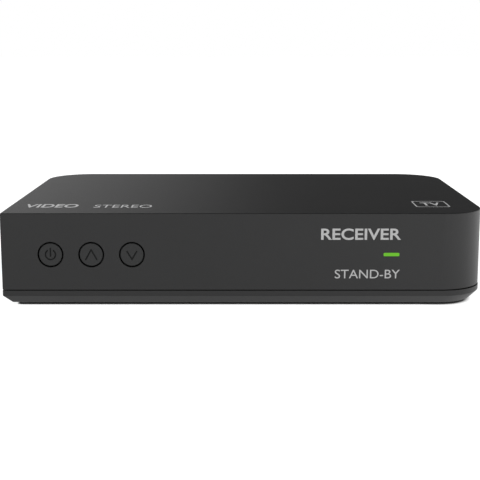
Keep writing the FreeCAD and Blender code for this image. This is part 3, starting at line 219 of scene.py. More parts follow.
def moulded(name, colour, roughness, grain=0.5, grain_size=0.28, uneven=0.05):
    """Moulded plastic: colour that drifts slightly over centimetres, an eroded grain of the given size
    in millimetres with finer pits in it, and a roughness that varies with the grain."""
    material, shader, make = graph(name)
    tree = material.node_tree
    place = make("ShaderNodeTexCoord").outputs["Object"]
    drift = make("ShaderNodeTexNoise", {"Vector": place, "Scale": 38.0, "Detail": 2.0})
    fine = make("ShaderNodeTexNoise", {"Vector": place, "Scale": 1000 / grain_size, "Detail": 2.0,
                                       "Roughness": 0.6})
    pits = make("ShaderNodeTexVoronoi", {"Vector": place, "Scale": 700 / grain_size},
                feature="SMOOTH_F1")
    tint = make("ShaderNodeMapRange", {"Value": drift.outputs["Fac"], "From Min": 0.3, "From Max": 0.7,
                                       "To Min": 1 - uneven, "To Max": 1 + uneven})
    base = make("ShaderNodeVectorMath", {0: colour, 1: tint.outputs["Result"]}, operation="MULTIPLY")
    gloss = make("ShaderNodeMapRange", {"Value": fine.outputs["Fac"], "From Min": 0.3, "From Max": 0.7,
                                        "To Min": roughness - 0.03, "To Max": roughness + 0.03})
    relief = make("ShaderNodeMath", {0: fine.outputs["Fac"], 1: pits.outputs["Distance"]},
                  operation="ADD")
    bump = make("ShaderNodeBump", {"Strength": grain, "Distance": 0.02 * mm,
                                   "Height": relief.outputs[0]})
    tree.links.new(base.outputs[0], shader.inputs["Base Color"])
    tree.links.new(gloss.outputs["Result"], shader.inputs["Roughness"])
    tree.links.new(bump.outputs["Normal"], shader.inputs["Normal"])
    return material


def dress(piece, material, slot=None, body="housing"):
    """Gives a piece its only material and, when a slot is named, its body; the slot isn't kept."""
    piece.data.materials.clear()
    piece.data.materials.append(material)
    if slot:
        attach(piece, body)


black_abs = moulded("black_abs", (0.0125, 0.0125, 0.0128), 0.46)
dress(cover, black_abs, "housing_plastic")
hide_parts("top_cover")


# ---- Printed marks ------------------------------------------------------------------------------
# Plain words pad-printed on the cover in a thin film of grey ink: two on the front by the status
# light, and three small marks on the roof, one of them framed.

def ink(name, colour, roughness):
    """Dried ink: an even colour with faint speckle where the film is thin."""
    material, shader, make = graph(name)
    place = make("ShaderNodeTexCoord").outputs["Object"]
    speckle = make("ShaderNodeTexNoise", {"Vector": place, "Scale": 5200.0, "Detail": 1.0})
    tint = make("ShaderNodeMapRange", {"Value": speckle.outputs["Fac"], "From Min": 0.25,
                                       "From Max": 0.75, "To Min": 0.92, "To Max": 1.06})
    base = make("ShaderNodeVectorMath", {0: colour, 1: tint.outputs["Result"]}, operation="MULTIPLY")
    material.node_tree.links.new(base.outputs[0], shader.inputs["Base Color"])
    shader.inputs["Roughness"].default_value = roughness
    return material


def printed(name, words, low, high, face, swell=0.0):
    """Words as a film 0.03 mm thick, scaled to fill the rectangle from low to high on a face of the
    housing: "front" (x, z), "roof" (x, y) or "rear" (x, z, read from behind)."""
    curve = bpy.data.curves.new(name, "FONT")
    curve.body, curve.extrude, curve.offset, curve.resolution_u = words, 0.5, swell, 6
    text = bpy.data.objects.new(name, curve)
    bpy.context.scene.collection.objects.link(text)
    bpy.context.view_layer.update()
    mesh = bpy.data.meshes.new_from_object(text.evaluated_get(bpy.context.evaluated_depsgraph_get()))
    bpy.data.objects.remove(text)
    film(mesh, low, high, face)
    piece = bpy.data.objects.new(name, mesh)
    bpy.context.scene.collection.objects.link(piece)
    return piece


def film(mesh, low, high, face):
    """Fits a flat mesh with half thickness 0.5 to a rectangle of a face, 0.015 mm into it and 0.015 mm
    proud of it, and merges its doubled points."""
    co = np.zeros(len(mesh.vertices) * 3)
    mesh.vertices.foreach_get("co", co)
    co = co.reshape(-1, 3)
    flat_low, flat_high = co.min(0)[:2], co.max(0)[:2]
    share = (co[:, :2] - flat_low) / (flat_high - flat_low)
    low, high = np.array(low), np.array(high)
    u, v = (low + share * (high - low)).T
    lift = co[:, 2] * 0.03 * mm
    if face == "front":
        points = np.stack([u, front - lift, v], 1)
    elif face == "roof":
        points = np.stack([u, v, cover_top + lift], 1)
    else:
        points = np.stack([low[0] + high[0] - u, panel_high.y + lift, v], 1)
    mesh.vertices.foreach_set("co", points.ravel())
    work = bmesh.new()
    work.from_mesh(mesh)
    bmesh.ops.remove_doubles(work, verts=work.verts, dist=1e-7)
    bmesh.ops.recalc_face_normals(work, faces=work.faces)
    work.to_mesh(mesh)
    work.free()
    mesh.update()


grey_ink = ink("grey_ink", (0.46, 0.46, 0.46), 0.5)
marks = (("word_receiver", "RECEIVER", "front", (26.4, 23.75), (53.9, 27.75), 0.018),
         ("word_standby", "STAND-BY", "front", (31.3, 10.2), (53.8, 13.3), 0.0),
         ("word_video", "VIDEO", "roof", (-78.4, -48.4), (-59.4, -40.4), 0.02),
         ("word_stereo", "STEREO", "roof", (-53.6, -48.6), (-33.0, -42.0), 0.0),
         ("word_tv", "TV", "roof", (63.9, -43.4), (70.9, -36.6), 0.02))
for name, words, face, low, high, swell in marks:
    dress(printed(name, words, np.array(low) * mm, np.array(high) * mm, face, swell), grey_ink,
          "housing_plastic")

frame_middle, frame_straight, frame_round, frame_inside = (67.4, -40.0), (4.8, 5.6), 1.3, 0.93
a = np.linspace(0, 2 * math.pi, 64, endpoint=False)
outline = np.stack([np.sign(np.cos(a)) * frame_straight[0] + frame_round * np.cos(a),
                    np.sign(np.sin(a)) * frame_straight[1] + frame_round * np.sin(a)], 1)
frame_rings = [np.column_stack([(frame_middle + outline * share) * mm,
                                np.full(64, cover_top + lift * mm)])
               for share, lift in ((1, -0.015), (1, 0.015), (frame_inside, 0.015),
                                   (frame_inside, -0.015))]
mark_frame = skin("mark_frame", frame_rings, capped=False)
dress(mark_frame, grey_ink, "housing_plastic")


# ---- Bottom tray --------------------------------------------------------------------------------
# The same black ABS: a shallow tray with a bevelled foot. Its lip stands inside the cover's walls and
# leaves the shadow gap, and posts under the floor's screws take the pull. Slots let the air in.

floor_under, bevel_top, lip_top = tray_low.z, tray_low.z + 3 * mm, tray_high.z
tray_top = cover_foot - 0.3 * mm
tray_section = eased(((3.8 * mm, floor_under, 0), (3 * mm, floor_under, 0.35 * mm),
                      (0, bevel_top, 0.25 * mm), (0, tray_top, 0.12 * mm), (2.4 * mm, tray_top, 0),
                      (2.4 * mm, lip_top, 0.15 * mm), (3.7 * mm, lip_top, 0.15 * mm),
                      (3.7 * mm, floor_under + 2 * mm, 0), (5 * mm, floor_under + 2 * mm, 0)))
tray_corners = (plan_corners[0], (15.5, 28)) + plan_corners[2:]
tray = skin("tray_shell", [plan(inset, height, plan_corners if height > tray_top else tray_corners)
                           for inset, height in tray_section])
screws_low, screws_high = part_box("case_screws")
feet_low, feet_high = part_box("rubber_feet")


def four_places(low, high, radius):
    """The four middles of round things whose outer edges reach the box from low to high."""
    return [(x, y) for x in (low.x + radius, high.x - radius)
            for y in (low.y + radius, high.y - radius)]


screw_head, foot_radius, post_radius = 2.8 * mm, 6.0 * mm, 4.2 * mm
screw_places = four_places(screws_low, screws_high, screw_head)
foot_places = four_places(feet_low, feet_high, foot_radius)
posts = [skin("post", turned(((2 * mm, post_radius), (9 * mm, post_radius)), (x, y, 0), 2))
         for x, y in screw_places]
bore_profile = np.array(((0, 3.35), (1.0, 3.35), (1.2, 3.15), (4.2, 3.15), (4.2, 1.7), (10, 1.7)))
bores = [skin("bore", turned(bore_profile * mm, (x, y, 0), 2)) for x, y in screw_places]
recess_depth, recess_radius = 1.8 * mm, foot_radius + 0.15 * mm
recesses = [skin("recess", turned(((0, recess_radius), (recess_depth, recess_radius)), (x, y, 0), 2))
            for x, y in foot_places]
vent_count, vent_step, vent_middle, vent_straight = 13, 6 * mm, -24 * mm, 15.8 * mm
vents = []
for number in range(vent_count):
    a = np.linspace(0, 2 * math.pi, 32, endpoint=False)
    rings = [np.column_stack([(number - (vent_count - 1) / 2) * vent_step + r * mm * np.cos(a),
                              vent_middle + np.sign(np.sin(a)) * vent_straight + r * mm * np.sin(a),
                              np.full(32, z * mm)])
             for r, z in ((1.35, 0), (1.35, 1), (1.2, 1.15), (1.2, 4))]
    vents.append(skin("vent", rings))
fit_out(tray, posts, "UNION")
fit_out(tray, bores + recesses + vents)
smooth(tray)
dress(tray, black_abs, "housing_plastic")
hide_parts("bottom_tray")


# ---- Rubber feet --------------------------------------------------------------------------------
# Four black rubber discs stuck in round recesses under the tray. Each has a bevelled rim and three
# fine rings moulded in its sole.

foot_profile = [(1.8, 0.01), (1.8, 6.0), (0.35, 6.0), (0.12, 5.9), (0.0, 5.65)]
sole = np.linspace(5.5, 0.6, 50)
foot_profile += [(0.12 * (0.5 - 0.5 * math.cos(2 * math.pi * r / 1.6)) ** 2, r) for r in sole]
foot_profile = np.array(foot_profile)[::-1]


def gathered(name, parts):
    """One piece from several separate closed meshes."""
    work = bmesh.new()
    for part in parts:
        work.from_mesh(part.data)
        bpy.data.objects.remove(part)
    mesh = bpy.data.meshes.new(name)
    work.to_mesh(mesh)
    work.free()
    piece = bpy.data.objects.new(name, mesh)
    bpy.context.scene.collection.objects.link(piece)
    return piece


feet = gathered("feet_pads", [skin("pad", turned(foot_profile * mm, (x, y, 0), 2))
                              for x, y in foot_places])
smooth(feet)
dress(feet, moulded("foot_rubber_black", (0.014, 0.014, 0.014), 0.72, 0.6, 0.4), "foot_rubber")
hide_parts("rubber_feet")


# ---- Push buttons -------------------------------------------------------------------------------
# Three round caps of the same ABS. Each face is slightly dished and has its symbol cut in: stand-by,
# up and down. A flange behind the guide tube stops the cap, and a stem pushes its switch.

def to_segment(x, z, start, end):
    """Distance of the points (x, z) to the straight line from start to end."""
    run = np.array(end) - np.array(start)
    share = np.clip(((x - start[0]) * run[0] + (z - start[1]) * run[1]) / (run @ run), 0, 1)
    return np.hypot(x - start[0] - share * run[0], z - start[1] - share * run[1])


def stand_by(x, z):
    """Distance to the middle line of the stand-by symbol: a ring of radius 1.72 with an opening 2.1
    wide at its top, and an upright bar."""
    end = np.array((1.05, math.sqrt(1.72 ** 2 - 1.05 ** 2)))
    ring = np.where((np.abs(x) < 1.05) & (z > 0), np.hypot(np.abs(x) - end[0], z - end[1]),
                    np.abs(np.hypot(x, z) - 1.72))
    return np.minimum(ring, to_segment(x, z, (0, -0.5), (0, 2.2)))


def arrow(x, z, span, rise, middle):
    """Distance to an arrow head of two lines, its point up for a positive rise."""
    return to_segment(np.abs(x), z, (0, middle + rise / 2), (span / 2, middle - rise / 2))


symbols = {"power": stand_by, "up": lambda x, z: arrow(x, z, 3.8, 3.4, 0.0),
           "down": lambda x, z: arrow(x, z, 3.3, -2.8, -0.3)}
cap_low, cap_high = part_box("power_button")
face_radius, face_rings, rim_radius, dish_depth, groove_depth = 3.65, 84, 0.35, 0.1, 0.25
black_cap = moulded("black_cap", (0.0135, 0.0140, 0.0142), 0.44, 0.35)
cap_nodes = black_cap.node_tree
# Painted shade: along the cut lines the specular level falls from 0.5 to 0.12, so the symbols read
# darker.
groove_shade_mask = cap_nodes.nodes.new("ShaderNodeAttribute")
groove_shade_mask.attribute_name = "groove"
groove_shade = cap_nodes.nodes.new("ShaderNodeMapRange")
groove_shade.inputs["To Min"].default_value, groove_shade.inputs["To Max"].default_value = 0.5, 0.12
cap_nodes.links.new(groove_shade_mask.outputs["Fac"], groove_shade.inputs["Value"])
cap_nodes.links.new(groove_shade.outputs["Result"],
                    cap_nodes.nodes["Principled BSDF"].inputs["Specular IOR Level"])


def cap(name, x_middle, symbol):
    """A turned cap in millimetres: rings over the face, a rounded rim, then side, flange and stem. The
    face lies dish_depth * (1 - (r / face_radius)^2) deep, and a smooth step around the symbol's middle
    line cuts groove_depth deeper. The attribute groove is 1 on the cut lines, where the material turns
    the specular level down as painted shade."""
    face = np.linspace(0.03, face_radius, face_rings)
    b = np.linspace(0, math.pi / 2, 6)[1:]
    back = (cap_high.y - cap_low.y) / mm
    side = np.array([(4.2, 4.0), (4.2, 5.2), (5.4, 5.2), (5.4, 2.0), (back, 2.0)])
    rim = np.stack([rim_radius * (1 - np.cos(b)), face_radius + rim_radius * np.sin(b)], 1)
    profile = np.concatenate([np.stack([0 * face, face], 1), rim, side])
    rings = turned(profile, (0, 0, 0), 1, 320)
    x, z = rings[:face_rings, :, 0], rings[:face_rings, :, 2]
    groove = 1 - np.clip((symbol(x, z) - 0.17) / 0.09, 0, 1)
    groove = groove * groove * (3 - 2 * groove)
    dish = dish_depth * (1 - (np.hypot(x, z) / face_radius) ** 2)
    rings[:face_rings, :, 1] += dish + groove_depth * groove
    cut = np.zeros(rings.shape[:2])
    cut[:face_rings] = groove
    piece = skin(name, rings * mm + np.array((x_middle, cap_low.y, button_z)))
    piece.data.attributes.new("groove", "FLOAT", "POINT").data.foreach_set("value", cut.ravel())
    return piece


for key, x in zip(("power", "up", "down"), button_x):
    piece = cap(key + "_cap", x, symbols[key])
    smooth(piece, 50)
    dress(piece, black_cap, "button_plastic", key + "_key")
    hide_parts(key + "_button")


# ---- Status light -------------------------------------------------------------------------------
# A clear acrylic guide pressed into its slot from behind, lit green by the diode on the front board.
# The glow is a little stronger at its right end.

glow, glow_shader, make = graph("lamp_glow")
place = make("ShaderNodeSeparateXYZ", {0: make("ShaderNodeTexCoord").outputs["Object"]})
along = make("ShaderNodeMapRange", {"Value": place.outputs["X"], "From Min": lamp_x - lamp_width / 2,
                                    "From Max": lamp_x + lamp_width / 2, "To Min": 0.96,
                                    "To Max": 1.02})
light = make("ShaderNodeVectorMath", {0: (0.113, 0.392, 0.004), 1: along.outputs["Result"]},
             operation="MULTIPLY")
glow.node_tree.links.new(light.outputs[0], glow_shader.inputs["Emission Color"])
glow_shader.inputs["Emission Strength"].default_value = 1.0
glow_shader.inputs["Base Color"].default_value = (0.02, 0.08, 0.01, 1)
glow_shader.inputs["Roughness"].default_value = 0.35
glow_shader.inputs["Specular IOR Level"].default_value = 0.35
dress(nodes["light_guide"], glow)
dress(nodes["status_led"], moulded("milky_resin", (0.55, 0.85, 0.45), 0.3, 0.2))


# ---- Rear panel ---------------------------------------------------------------------------------
# A plain black plate held in its seats behind the cover's rim, with an air grille and cut-outs for the
# sockets. Small words in grey ink say what each socket is for.

panel_black = moulded("panel_black", (0.0115, 0.0115, 0.0118), 0.52, 0.6, 0.22)
dress(nodes["rear_panel"], panel_black)
rear_words = (("word_antenna", "ANT IN", (-51.3, 24.6), (-42.3, 26.3)),
              ("word_scart", "TV", (-7.9, 25.4), (-4.3, 27.1)),
              ("word_screen", "VIDEO", (24.4, 17.0), (31.8, 18.7)),
              ("word_sound", "AUDIO", (40.7, 20.8), (46.7, 22.1)),
              ("word_power", "DC 12V", (52.8, 20.8), (60.0, 22.1)))
for name, words, low, high in rear_words:
    dress(printed(name, words, np.array(low) * mm, np.array(high) * mm, "rear"), grey_ink,
          "panel_plastic")


# ---- Aerial socket ------------------------------------------------------------------------------
# A nickel-plated brass barrel with a 32-to-the-inch thread, through a flat washer and a six-sided nut.
# A white polythene plug inside it holds the gilt centre contact.

def plated(name, colour, roughness, brush=(900, 900, 900), depth=0.15):
    """Metal: a polished or brushed skin, its scratches drawn out along the axis with the low scale."""
    material, shader, make = graph(name)
    tree = material.node_tree
    place = make("ShaderNodeMapping", {"Vector": make("ShaderNodeTexCoord").outputs["Object"],
                                       "Scale": brush})
    scratch = make("ShaderNodeTexNoise", {"Vector": place.outputs[0], "Scale": 1.0, "Detail": 3.0})
    cloud = make("ShaderNodeTexNoise", {"Vector": make("ShaderNodeTexCoord").outputs["Object"],
                                        "Scale": 160.0})
    tint = make("ShaderNodeMapRange", {"Value": cloud.outputs["Fac"], "From Min": 0.3, "From Max": 0.7,
                                       "To Min": 0.92, "To Max": 1.05})
    base = make("ShaderNodeVectorMath", {0: colour, 1: tint.outputs["Result"]}, operation="MULTIPLY")
    gloss = make("ShaderNodeMapRange", {"Value": scratch.outputs["Fac"], "From Min": 0.3,
                                        "From Max": 0.7, "To Min": roughness * 0.8,
                                        "To Max": roughness * 1.3})
    bump = make("ShaderNodeBump", {"Strength": depth, "Distance": 0.01 * mm,
                                   "Height": scratch.outputs["Fac"]})
    tree.links.new(base.outputs[0], shader.inputs["Base Color"])
    tree.links.new(gloss.outputs["Result"], shader.inputs["Roughness"])
    tree.links.new(bump.outputs["Normal"], shader.inputs["Normal"])
    shader.inputs["Metallic"].default_value = 1.0
    return material


nickel = plated("nickel_plate", (0.66, 0.64, 0.60), 0.30)
gilt = plated("gilt_plate", (0.90, 0.63, 0.24), 0.25)
barrel_low, barrel_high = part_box("aerial_barrel")
nut_low, nut_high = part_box("aerial_nut")
washer_low, washer_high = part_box("aerial_washer")
aerial = np.array(((barrel_low.x + barrel_high.x) / 2, 0, (barrel_low.z + barrel_high.z) / 2))
crest, thread_depth, clear_bore = 4.7, 0.3, 4.74


def barrel_rings(around=96):
    """The threaded barrel: radius crest - thread_depth * t, where t is a triangle wave of
    y / pitch - a / 2 pi, with a shoulder at its front end and a bevel at its mouth; then the plain bore
    back to the front."""
    a = np.linspace(0, 2 * math.pi, around, endpoint=False)
    pitch, mouth = 25.4 / 32, barrel_high.y / mm
    y = np.arange(nut_low.y / mm - 1.2, mouth, pitch / 8)
    wave = (y[:, None] / pitch - a / (2 * math.pi)) % 1
    thread = crest - thread_depth * np.clip(np.abs(2 * wave - 1) * 1.4 - 0.2, 0, 1)
    thread = np.minimum(thread, 4.25 + 0.9 * (mouth - y)[:, None])
    start = barrel_low.y / mm
    plain = [(start, 5.4), (start + 1.2, 5.4), (start + 1.2, 4.4), (y[0] - 0.1, 4.4)]
    end = [(mouth, 4.25), (mouth, 3.6), (mouth - 0.2, 3.4), (start, 3.4)]
    radius = np.concatenate([[[r] * around for _, r in plain], thread, [[r] * around for _, r in end]])
    along = np.concatenate([[p for p, _ in plain], y, [p for p, _ in end]])[:, None] + 0 * radius
    return np.stack([radius * np.sin(a), along, radius * np.cos(a)], -1) * mm + aerial


def ring_rings(low, high, bore, outline, steps):
    """A flat ring round the aerial's axis from low.y to high.y. outline(a, share) gives its outer
    radius at angle a and at a share of its thickness."""
    a = np.linspace(0, 2 * math.pi, 144, endpoint=False)
    share = np.array(steps)
    outer = outline(a[None, :], share[:, None])
    radius = np.concatenate([outer, [[bore] * 144] * 2])
    along = low.y + np.concatenate([share, (1, 0)])[:, None] * (high.y - low.y) + 0 * radius
    return np.stack([radius * mm * np.sin(a), along, radius * mm * np.cos(a)], -1) + aerial


def six_sides(a, share):
    """Hexagon with corners of radius 6.4 to the left and right, turned off at both faces."""
    flat = 6.4 * math.cos(math.pi / 6) / np.cos((a + math.pi / 6) % (math.pi / 3) - math.pi / 6)
    return np.minimum(flat, 5.65 + 9 * (0.5 - np.abs(share - 0.5)))


def disc(a, share):
    """Round edge of radius 6.6 with its corners at both faces taken off by 0.06 mm."""
    return 6.54 + np.minimum(0.06, 1.2 * (0.5 - np.abs(share - 0.5))) + 0 * a


barrel = skin("aerial_thread", barrel_rings(), capped=False)
nut = skin("aerial_hexagon", ring_rings(nut_low, nut_high, clear_bore, six_sides,
                                        (0, 0.03, 0.06, 0.1, 0.9, 0.94, 0.97, 1)), capped=False)
washer = skin("aerial_ring", ring_rings(washer_low, washer_high, clear_bore, disc,
                                        (0, 0.05, 0.95, 1)), capped=False)
for piece, node in ((barrel, "aerial_barrel"), (nut, "aerial_nut"), (washer, "aerial_washer")):
    smooth(piece, 35)
    dress(piece, nickel, "nickel")
    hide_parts(node)
white_plug = moulded("white_polythene", (0.72, 0.72, 0.69), 0.4, 0.2, 0.6)
dress(nodes["aerial_insulator"], white_plug)
dress(nodes["aerial_contact"], gilt)


# ---- Television, picture, sound and power sockets -----------------------------------------------
# Each is soldered to the main board and looks out through the panel: a tinned shield round a black
# nylon block with gilt springs, a small plated shell with a thin tongue, a plated ring round an orange
# insulator, and a moulded power inlet with a plated pin.

tin = plated("tin_plate_sheet", (0.60, 0.60, 0.59), 0.34, (1500, 120, 1500))
black_nylon = moulded("black_nylon", (0.012, 0.012, 0.013), 0.38, 0.25, 0.5)
orange_plug = moulded("orange_moulding", (0.80, 0.17, 0.012), 0.36, 0.2, 0.5)
for node in ("scart_shield", "hdmi_shell", "tuner_frame", "tuner_lid", "switch_covers"):
    dress(nodes[node], tin)
for node in ("scart_moulding", "hdmi_moulding", "audio_body", "power_inlet", "switch_bases",
             "link_strip", "infrared_receiver"):
    dress(nodes[node], black_nylon)
for node in ("scart_contacts", "audio_contact", "link_pins"):
    dress(nodes[node], gilt)
for node in ("audio_ring", "power_pin"):
    dress(nodes[node], nickel)
dress(nodes["audio_insulator"], orange_plug)
for key in ("power", "up", "down"):
    dress(nodes[key + "_plunger"], black_nylon)

tongue_low, tongue_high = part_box("hdmi_moulding")
tongue_x, tongue_z = (tongue_low.x + tongue_high.x) / 2, (tongue_low.z + tongue_high.z) / 2
strip_half, strip_under, strip_over, strip_pitch = 0.22 * mm, 0.59 * mm, 0.66 * mm, 1.0 * mm
strips = []
for side, count in ((1, 10), (-1, 9)):
    for number in range(count):
        x = tongue_x + (number - (count - 1) / 2) * strip_pitch
        z = sorted((tongue_z + side * strip_under, tongue_z + side * strip_over))
        strips.append(skin("strip", block_cutter((x - strip_half, tongue_high.y - 5.5 * mm, z[0]),
                                                 (x + strip_half, tongue_high.y - 0.6 * mm, z[1]))))
strips = gathered("tongue_contacts", strips)
dress(strips, gilt, "gilt_contact")


# ---- Circuit boards and what stands on them -----------------------------------------------------
# Green solder resist over copper tracks on glass laminate. Black resin chips, a finned black heat sink
# on a grey pad, drawn aluminium cans, and small ceramic parts.

def laminate(name):
    """Solder resist: tracks are the seams between square cells of two sizes, a shade lighter and raised
    by a few hundredths of a millimetre."""
    material, shader, make = graph(name)
    tree = material.node_tree
    place = make("ShaderNodeTexCoord").outputs["Object"]
    tracks = []
    for scale in (260.0, 610.0):
        cell = make("ShaderNodeTexVoronoi", {"Vector": place, "Scale": scale, "Randomness": 0.7},
                    distance="CHEBYCHEV", feature="F1")
        tracks.append(make("ShaderNodeMapRange", {"Value": cell.outputs["Distance"], "From Min": 0.40,
                                                  "From Max": 0.46}).outputs["Result"])
    copper = make("ShaderNodeMath", {0: tracks[0], 1: tracks[1]}, operation="MAXIMUM")
    mix = make("ShaderNodeMix", {"Factor": copper.outputs[0]}, data_type="RGBA")
    mix.inputs["A"].default_value = (0.006, 0.060, 0.020, 1)
    mix.inputs["B"].default_value = (0.016, 0.120, 0.042, 1)
    bump = make("ShaderNodeBump", {"Strength": 0.5, "Distance": 0.03 * mm, "Height": copper.outputs[0]})
    tree.links.new(mix.outputs["Result"], shader.inputs["Base Color"])
    tree.links.new(bump.outputs["Normal"], shader.inputs["Normal"])
    shader.inputs["Roughness"].default_value = 0.32
    return material


resist = laminate("green_resist")
finishes = {
    "front_board": resist, "main_board": resist,
    "processor": moulded("chip_resin_black", (0.016, 0.016, 0.017), 0.55, 0.4, 0.2),
    "heat_pad": moulded("grey_silicone", (0.32, 0.36, 0.40), 0.7, 0.4, 0.5),
    "heat_sink": plated("black_anodised", (0.035, 0.035, 0.038), 0.42, (300, 2400, 300)),
    "filter_capacitors": plated("drawn_aluminium", (0.62, 0.62, 0.64), 0.32),
    "chip_components": moulded("tan_ceramic", (0.30, 0.19, 0.10), 0.4, 0.3, 0.2),
    "power_inductors": moulded("ferrite", (0.045, 0.045, 0.048), 0.5, 0.6, 0.25),
    "case_screws": plated("blackened_screws", (0.055, 0.055, 0.058), 0.36),
    "board_screws": plated("zinc_screws", (0.52, 0.53, 0.55), 0.3),
}
for node in ("memory_chips", "program_store", "voltage_regulators", "tuner_chip"):
    finishes[node] = finishes["processor"]
finishes["crystal"] = finishes["filter_capacitors"]
for node, material in finishes.items():
    dress(nodes[node], material)


# ---- Floor, light and camera --------------------------------------------------------------------
# A pale floor, a white surround and two soft lamps. A bent card behind and over the receiver, which
# only its reflections see, holds the white walls off its black roof as a studio flag does. The floor's
# shadow is partly cast by the lamps on its dim diffuse part and partly painted shadow in its glow,
# close under the tray and painted wider at the right end.

def mirrored_white(make):
    """1 for the rays that a shiny or a clear surface sends on to its background."""
    path = make("ShaderNodeLightPath")
    return make("ShaderNodeMath", {0: path.outputs["Is Glossy Ray"],
                                   1: path.outputs["Is Transmission Ray"]},
                operation="MAXIMUM").outputs[0]


def seen_white(make):
    """1 for those rays and for the camera's own."""
    path = make("ShaderNodeLightPath")
    return make("ShaderNodeMath", {0: path.outputs["Is Camera Ray"], 1: mirrored_white(make)},
                operation="MAXIMUM").outputs[0]


paper, paper_shader, make = graph("floor_paper")
looked_at = make("ShaderNodeLightPath").outputs["Is Camera Ray"]
place = make("ShaderNodeSeparateXYZ", {0: make("ShaderNodeTexCoord").outputs["Object"]})
# Painted shadow: the floor's glow for the camera dims where the occlusion within 5 mm is high, and from
# X 62 to 74 mm the dimming reaches further out, so the painted shadow is wider at the right end.
clear = make("ShaderNodeMapRange", {"Value": place.outputs["X"], "From Min": 0.062, "From Max": 0.074,
                                    "To Min": 0.19, "To Max": 0.3})
painted_shadow = make("ShaderNodeAmbientOcclusion", {"Distance": 5 * mm}, samples=64)
painted_shadow = make("ShaderNodeMapRange", {"Value": painted_shadow.outputs["AO"], "From Min": 0.15,
                                     "From Max": clear.outputs["Result"], "To Max": 0.9})
lift = make("ShaderNodeMath", {0: looked_at, 1: painted_shadow.outputs["Result"]}, operation="MULTIPLY")
pale = make("ShaderNodeMapRange", {"Value": looked_at, "To Min": 0.86, "To Max": 0.35})
paper.node_tree.links.new(lift.outputs[0], paper_shader.inputs["Emission Strength"])
paper.node_tree.links.new(pale.outputs["Result"], paper_shader.inputs["Base Color"])
paper_shader.inputs["Emission Color"].default_value = (1, 1, 1, 1)
paper_shader.inputs["Roughness"].default_value = 0.9
paper_shader.inputs["Specular IOR Level"].default_value = 0.0
side = make("ShaderNodeMapRange", {"Value": place.outputs["X"], "From Min": 0.0, "From Max": 0.22,
                                   "To Min": 0.75, "To Max": 1.5}, interpolation_type="SMOOTHSTEP")
bright = make("ShaderNodeEmission", {"Color": (1, 1, 1, 1), "Strength": side.outputs["Result"]})
either = make("ShaderNodeMixShader", {0: mirrored_white(make), 1: paper_shader.outputs[0],
                                      2: bright.outputs[0]})
paper.node_tree.links.new(either.outputs[0], paper.node_tree.nodes["Material Output"].inputs["Surface"])


def studio(name, points, faces, material):
    """A piece of the studio, which isn't part of the receiver."""
    mesh = bpy.data.meshes.new(name)
    mesh.from_pydata(points, [], faces)
    mesh.materials.append(material)
    piece = bpy.data.objects.new(name, mesh)
    bpy.context.scene.collection.objects.link(piece)
    return piece


studio("floor", [(-6, -6, 0), (6, -6, 0), (6, 6, 0), (-6, 6, 0)], [(0, 1, 2, 3)], paper)

card_paper, card_shader, make = graph("flag_card")
tree = card_paper.node_tree
place = make("ShaderNodeSeparateXYZ", {0: make("ShaderNodeTexCoord").outputs["Object"]})
across = make("ShaderNodeMapRange", {"Value": place.outputs["X"], "From Min": -0.40, "From Max": 0.02,
                                     "To Min": 1.25, "To Max": 0.11})
right_end = make("ShaderNodeMapRange", {"Value": place.outputs["X"], "From Min": 0.45, "From Max": 0.80,
                                        "To Min": 0.0, "To Max": 1.2})
across = make("ShaderNodeMath", {0: across.outputs["Result"], 1: right_end.outputs["Result"]},
              operation="MAXIMUM")
up = make("ShaderNodeMapRange", {"Value": place.outputs["Z"], "From Min": 0.02, "From Max": 0.20,
                                 "To Min": 2.0, "To Max": 0.6})
over = make("ShaderNodeMapRange", {"Value": place.outputs["Y"], "From Min": 0.34, "From Max": 0.16,
                                   "To Min": 1.0, "To Max": 0.08})
level = make("ShaderNodeMath", {0: up.outputs["Result"], 1: over.outputs["Result"]},
             operation="MULTIPLY")
level = make("ShaderNodeMath", {0: across.outputs[0], 1: level.outputs[0]}, operation="MULTIPLY")
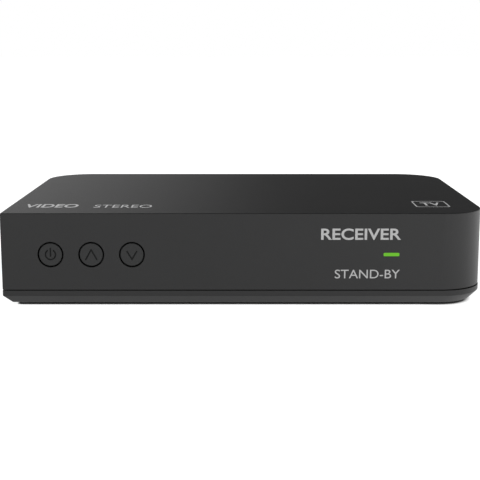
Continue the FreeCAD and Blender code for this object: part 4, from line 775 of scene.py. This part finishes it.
tree.links.new(level.outputs[0], card_shader.inputs["Emission Strength"])
card_shader.inputs["Emission Color"].default_value = (1, 1, 1, 1)
card_shader.inputs["Base Color"].default_value = (0, 0, 0, 1)
card_shader.inputs["Specular IOR Level"].default_value = 0.0
card_reach, card_straight, card_half = 0.40, 0.20, 1.6
b = np.linspace(0, math.radians(160), 27)
bend = [(card_reach, 0.001)] + list(zip(card_reach * np.cos(b), card_straight + card_reach * np.sin(b)))
card = studio("flag", [(x, y, z) for x in (-card_half, card_half) for y, z in bend],
              [(i, i + len(bend), i + len(bend) + 1, i + 1) for i in range(len(bend) - 1)], card_paper)
card.visible_camera = card.visible_diffuse = card.visible_shadow = card.visible_transmission = False

world = bpy.data.worlds.new("surround")
bpy.context.scene.world = world
world.use_nodes = True
sky = world.node_tree
make = maker(sky)
strength = make("ShaderNodeMapRange", {"Value": seen_white(make), "To Min": 0.62, "To Max": 1.0})
sky.nodes["Background"].inputs["Color"].default_value = (1, 1, 1, 1)
sky.links.new(strength.outputs["Result"], sky.nodes["Background"].inputs["Strength"])

for name, spot, size, watts in (("key", (-0.9, -1.0, 1.5), 1.2, 16.0),
                                ("fill", (1.1, -0.6, 1.3), 1.0, 7.0)):
    lamp = bpy.data.lights.new(name, "AREA")
    lamp.shape, lamp.size, lamp.energy = "SQUARE", size, watts
    lamp_object = bpy.data.objects.new(name, lamp)
    lamp_object.location = spot
    lamp_object.visible_glossy = False
    lamp_object.rotation_euler = (-Vector(spot)).to_track_quat("-Z", "Y").to_euler()
    bpy.context.scene.collection.objects.link(lamp_object)

camera = bpy.data.cameras.new("camera")
camera.lens, camera.sensor_width = 80.25, 36.0
camera.shift_x, camera.shift_y = -0.00925, -0.0001
camera.clip_start = 0.01
camera_object = bpy.data.objects.new("camera", camera)
camera_object.location = (0.00004, -0.42347, 0.0907)
camera_object.rotation_euler = (math.radians(79.52), 0, 0)
bpy.context.scene.collection.objects.link(camera_object)
bpy.context.scene.camera = camera_object
bpy.context.scene.view_settings.view_transform = "Standard"
